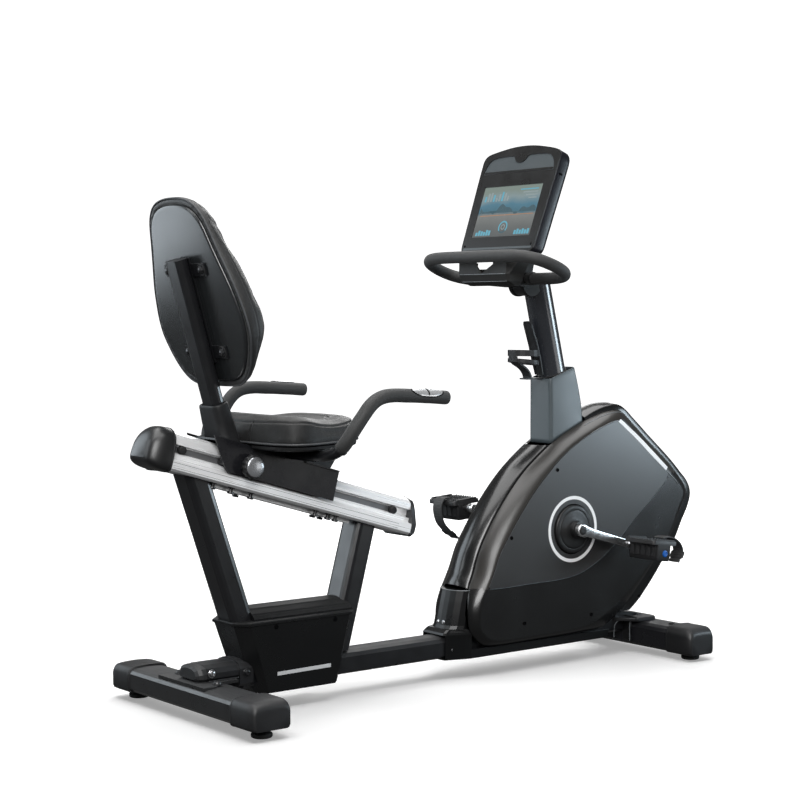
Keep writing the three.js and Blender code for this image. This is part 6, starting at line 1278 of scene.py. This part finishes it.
def pedal(n, s, pitch, straps, sx):
    p = PED[n]; a = math.radians(pitch); ca, sa = math.cos(a), math.sin(a)
    R = lambda x, y, z: (p[0] + x * ca - z * sa, s * y, p[1] + x * sa + z * ca)
    def RB(x0, x1, y0, y1, z0, z1, t=0.0, ty=0.0):
        return loft([[R(x0, y0, z0), R(x1, y0, z0), R(x1, y1, z0), R(x0, y1, z0)], [R(x0 + t, y0 + ty, z1), R(x1 - t, y0 + ty, z1), R(x1 - t, y1 - ty, z1), R(x0 + t, y1 - ty, z1)]])
    def frame_ring(e, z, x0=-40, x1=48, y0=140, y1=244, r=9):
        out = []
        for cx, cy, a0 in ((x1 - r, y1 - r, 0), (x0 + r, y1 - r, 90), (x0 + r, y0 + r, 180), (x1 - r, y0 + r, 270)):
            for i in range(7):
                w = math.radians(a0 + 15 * i); q = r - e
                out.append(R(cx + math.cos(w) * q, cy + math.sin(w) * q, z))
        return out
    # outer frame with a raised rim
    fr = loft([frame_ring(0, 8), frame_ring(0, 17), frame_ring(.8, 18.6), frame_ring(3.4, 18.6), frame_ring(4.6, 17), frame_ring(5.2, 8)], True)
    parts = [fr]
    for y0, y1 in ((140.4, 146), (238, 243.6)):
        parts.append(RB(-34, 42, y0, y1, 12, 22.6, 5, .5))
    for x in (-27, 0, 27):
        parts.append(RB(x - 4.2, x + 4.2, 146, 238, 8.4, 16.6, .6))
        for k in range(11):
            yy = 151 + k * 8.0
            parts.append(RB(x - 3.6, x + 3.6, yy, yy + 4.2, 16.2, 19.8, 1.0, .9))
    for yy in (170, 192, 214):
        parts.append(RB(-36, 44, yy - 2.2, yy + 2.2, 8.6, 15.0, .3))
    for x in (-37.2, 45.2):
        for k in range(9):
            yy = 154 + k * 9.2
            parts.append(RB(x - 2.0, x + 2.0, yy, yy + 4.4, 17.6, 21.0, .6, .9))
    # body round the spindle
    core = []
    for y, e in ((144.2, 2.2), (145.2, .6), (147, 0), (241, 0), (242.8, .6), (243.8, 2.2)):
        core.append([R(x, y, z) for x, z in [(-20 + e, -32 + e), (20 - e, -32 + e), (24 - e, -26), (24 - e, 10), (-24 + e, 10), (-24 + e, -24)]])
    parts.append(loft(core))
    for xx in (-24.0, 24.0):
        q = 1 if xx > 0 else -1
        for k in range(5):
            yy = 151 + k * 18.6
            parts.append(RB(xx - .6 if q > 0 else xx - 1.7, xx + 1.7 if q > 0 else xx + .6, yy, yy + 12.5, -22, 4, 0, .8))
    v, f = merge(*parts)
    new_obj('pedal_body_' + n, v, f, PLASTIC, f'pedal_{n}_body', rep=('pedal_' + n,), angle=30, bevel=(.5, 2, 45))
    # end cap
    v, f = turn(R(4 * sx, 243.2, -13), (0, s, 0), [(2, -1), (8.6, -1), (8.8, .4), (8.3, 2.2), (6.8, 3.2), (5.8, 3.4), (5.2, 2.6), (.1, 2.4)], 40)
    new_obj('pedal_cap_' + n, v, f, BLUE, f'pedal_{n}_body', angle=34)
    # strap with ribs, buckle with a bar
    path = smooth_path([R(*q) for q in straps], 46)
    v, f = strap(path, (0, 1, 0), 34, 3.2)
    pr = [(v, f)]
    for k in range(2, 45, 2):
        d_ = (Vector(path[k + 1]) - Vector(path[k - 1])).normalized(); nn = d_.cross(Vector((0, 1, 0))).normalized()
        c_ = Vector(path[k])
        for q in (1, -1):
            pr.append(tube([tuple(c_ + nn * q * 1.6 - Vector((0, 12.5, 0))), tuple(c_ + nn * q * 1.75), tuple(c_ + nn * q * 1.6 + Vector((0, 12.5, 0)))], .75, 6, (nn.x, nn.y, nn.z)))
    v, f = merge(*pr)
    new_obj('pedal_belt_' + n, v, f, STRAPM, f'pedal_{n}_body', rep=('pedal_strap_' + n,), angle=34, bevel=(.5, 2, 50))
    bk = straps[-2]
    x0, z0 = bk[0], bk[2]
    pts = [R(x0 + dx, bk[1], z0 + dz) for dx, dz in ((0, 0),)]
    kk = int(46 * (len(straps) - 2) / (len(straps) - 1))
    c_ = Vector(path[kk]); d_ = (Vector(path[min(kk + 1, 46)]) - Vector(path[kk - 1])).normalized(); nn = d_.cross(Vector((0, 1, 0))).normalized()
    Y = Vector((0, 1, 0))
    ringp = []
    for (aa, bb) in ((-9, -20), (9, -20), (9, 20), (-9, 20)):
        ringp.append(tuple(c_ + d_ * aa + Y * bb))
    rp = []
    for i in range(4):
        A_, B_ = Vector(ringp[i]), Vector(ringp[(i + 1) % 4])
        for t in (.12, .3, .5, .7, .88): rp.append(tuple(A_.lerp(B_, t)))
    b1 = tube(rp, 2.6, 10, (nn.x, nn.y, nn.z), True)
    b2 = tube([tuple(c_ - Y * 19), tuple(c_ + Y * 19)], 2.0, 10, (nn.x, nn.y, nn.z))
    v, f = merge(b1, b2)
    new_obj('pedal_buckle_' + n, v, f, PLASTIC, f'pedal_{n}_body', angle=50)
pedal('right', -1, -7, [(14, 208, 25.5), (36, 208, 29), (60, 208, 25), (80, 208, 13), (90, 208, -4), (86, 208, -18), (78, 208, -34)], 1)
pedal('left', 1, 4, [(-24, 186, 26), (-42, 186, 27), (-54, 186, 14), (-57, 186, -8), (-50, 186, -36), (-30, 186, -60), (-2, 186, -84)], -1)

# ------------------------------------------------------------------ floor, light, camera
def pale(name, glow):
    m = bpy.data.materials.new(name); m.use_nodes = True
    b = next(n for n in m.node_tree.nodes if n.type == 'BSDF_PRINCIPLED')
    b.inputs['Base Color'].default_value = (.90, .90, .90, 1); b.inputs['Roughness'].default_value = .8
    b.inputs['Specular IOR Level'].default_value = .1
    b.inputs['Emission Strength'].default_value = glow
    # the glow grows outwards from the object, so the floor fades into the backdrop
    nt = m.node_tree
    tc = nt.nodes.new('ShaderNodeTexCoord'); ln = nt.nodes.new('ShaderNodeVectorMath'); ln.operation = 'LENGTH'
    mr = nt.nodes.new('ShaderNodeMapRange'); mr.interpolation_type = 'SMOOTHSTEP'
    mr.inputs['From Min'].default_value = 1.2; mr.inputs['From Max'].default_value = 3.6
    mr.inputs['To Min'].default_value = .30; mr.inputs['To Max'].default_value = 1.0
    nt.links.new(tc.outputs['Object'], ln.inputs[0]); nt.links.new(ln.outputs['Value'], mr.inputs['Value'])
    nt.links.new(mr.outputs[0], b.inputs['Emission Color'])
    return m
# pale floor that runs up into a plain round backdrop far behind and around the object
rings = []
for r, z in [(0.02, 0), (2.5, 0), (5, 0), (7.5, 0)] + [(7.5 + 3.0 * math.sin(t), 3.0 - 3.0 * math.cos(t)) for t in np.linspace(.08, math.pi / 2, 18)] + [(10.5, 6.0), (10.5, 12.0)]:
    rings.append([(math.cos(2 * math.pi * k / 96) * r, math.sin(2 * math.pi * k / 96) * r, z - .0004) for k in range(96)])
v, f = loft(rings, cap1=False)
me = bpy.data.meshes.new('floor'); me.from_pydata(v, [], f); me.update()
floor = bpy.data.objects.new('floor', me); coll.objects.link(floor)
me.polygons.foreach_set('use_smooth', [True] * len(me.polygons))
me.materials.append(pale('floor_pale', 1.05))
floor.visible_glossy = False; floor.visible_diffuse = False

w = bpy.data.worlds.new('studio'); scene.world = w; w.use_nodes = True
bg = next(n for n in w.node_tree.nodes if n.type == 'BACKGROUND')
bg.inputs['Color'].default_value = (1, 1, 1, 1); bg.inputs['Strength'].default_value = .075

def area(name, loc, aim, sx, sy, power, col=(1, 1, 1)):
    L = bpy.data.lights.new(name, 'AREA'); L.shape = 'RECTANGLE'; L.size = sx; L.size_y = sy; L.energy = power; L.color = col
    o = bpy.data.objects.new(name, L); coll.objects.link(o)
    o.location = loc
    o.rotation_euler = (Vector(aim) - Vector(loc)).to_track_quat('-Z', 'Y').to_euler()
    o.visible_camera = False
    return o
top_l = area('top', (-.2, .2, 4.2), (0, 0, .3), 5.0, 4.2, 235)
key_l = area('key', (-3.1, -3.7, 3.1), (0, 0, .5), 2.8, 2.8, 235)
str_l = area('right_strip', (2.5, -1.62, .80), (.5, 0, .62), .9, .9, 28, (.76, .90, 1))
rl_l = area('rail_strip', (1.15, -1.95, .45), (-.2, 0, .5), .9, .5, 2.4)
lb_l = area('left_back', (-1.75, 2.25, 1.35), (-.5, 0, .9), 1.4, 2.0, 26, (.84, .93, 1))
lr_l = area('left_rim', (-3.4, 1.2, 2.2), (0, 0, .6), 1.2, 2.2, 26, (.90, .96, 1))
rb_l = area('right_back', (2.8, 2.6, 2.4), (0, 0, .6), 2.0, 2.0, 60)
# the lights from the sides leave the floor alone, so its shadow stays under the object
skip = bpy.data.collections.new('floor_unlit')
skip.objects.link(floor)
skip.collection_objects[0].light_linking.link_state = 'EXCLUDE'
for o in (key_l, str_l, rl_l, lb_l, lr_l): o.light_linking.receiver_collection = skip

cam = bpy.data.cameras.new('view'); cam.lens = 81.0; cam.sensor_width = 36.0; cam.clip_start = .05; cam.clip_end = 100
co_ = bpy.data.objects.new('view', cam); coll.objects.link(co_)
yaw, pit, rol = math.radians(38.14), math.radians(-2.82), math.radians(-.1)
dv = Vector((math.sin(yaw) * math.cos(pit), math.cos(yaw) * math.cos(pit), math.sin(pit)))
rv = dv.cross(Vector((0, 0, 1))).normalized(); uv = rv.cross(dv)
cr_, sr_ = math.cos(rol), math.sin(rol)
rx = rv * cr_ + uv * sr_; ux_ = uv * cr_ - rv * sr_
M = Matrix((( rx.x, ux_.x, -dv.x), (rx.y, ux_.y, -dv.y), (rx.z, ux_.z, -dv.z))).to_4x4()
M.translation = Vector((-2.0858 - X0 / 1000, -3.3856, .895))
co_.matrix_world = M
scene.camera = co_
scene.view_settings.view_transform = 'Standard'
scene.view_settings.look = 'None'

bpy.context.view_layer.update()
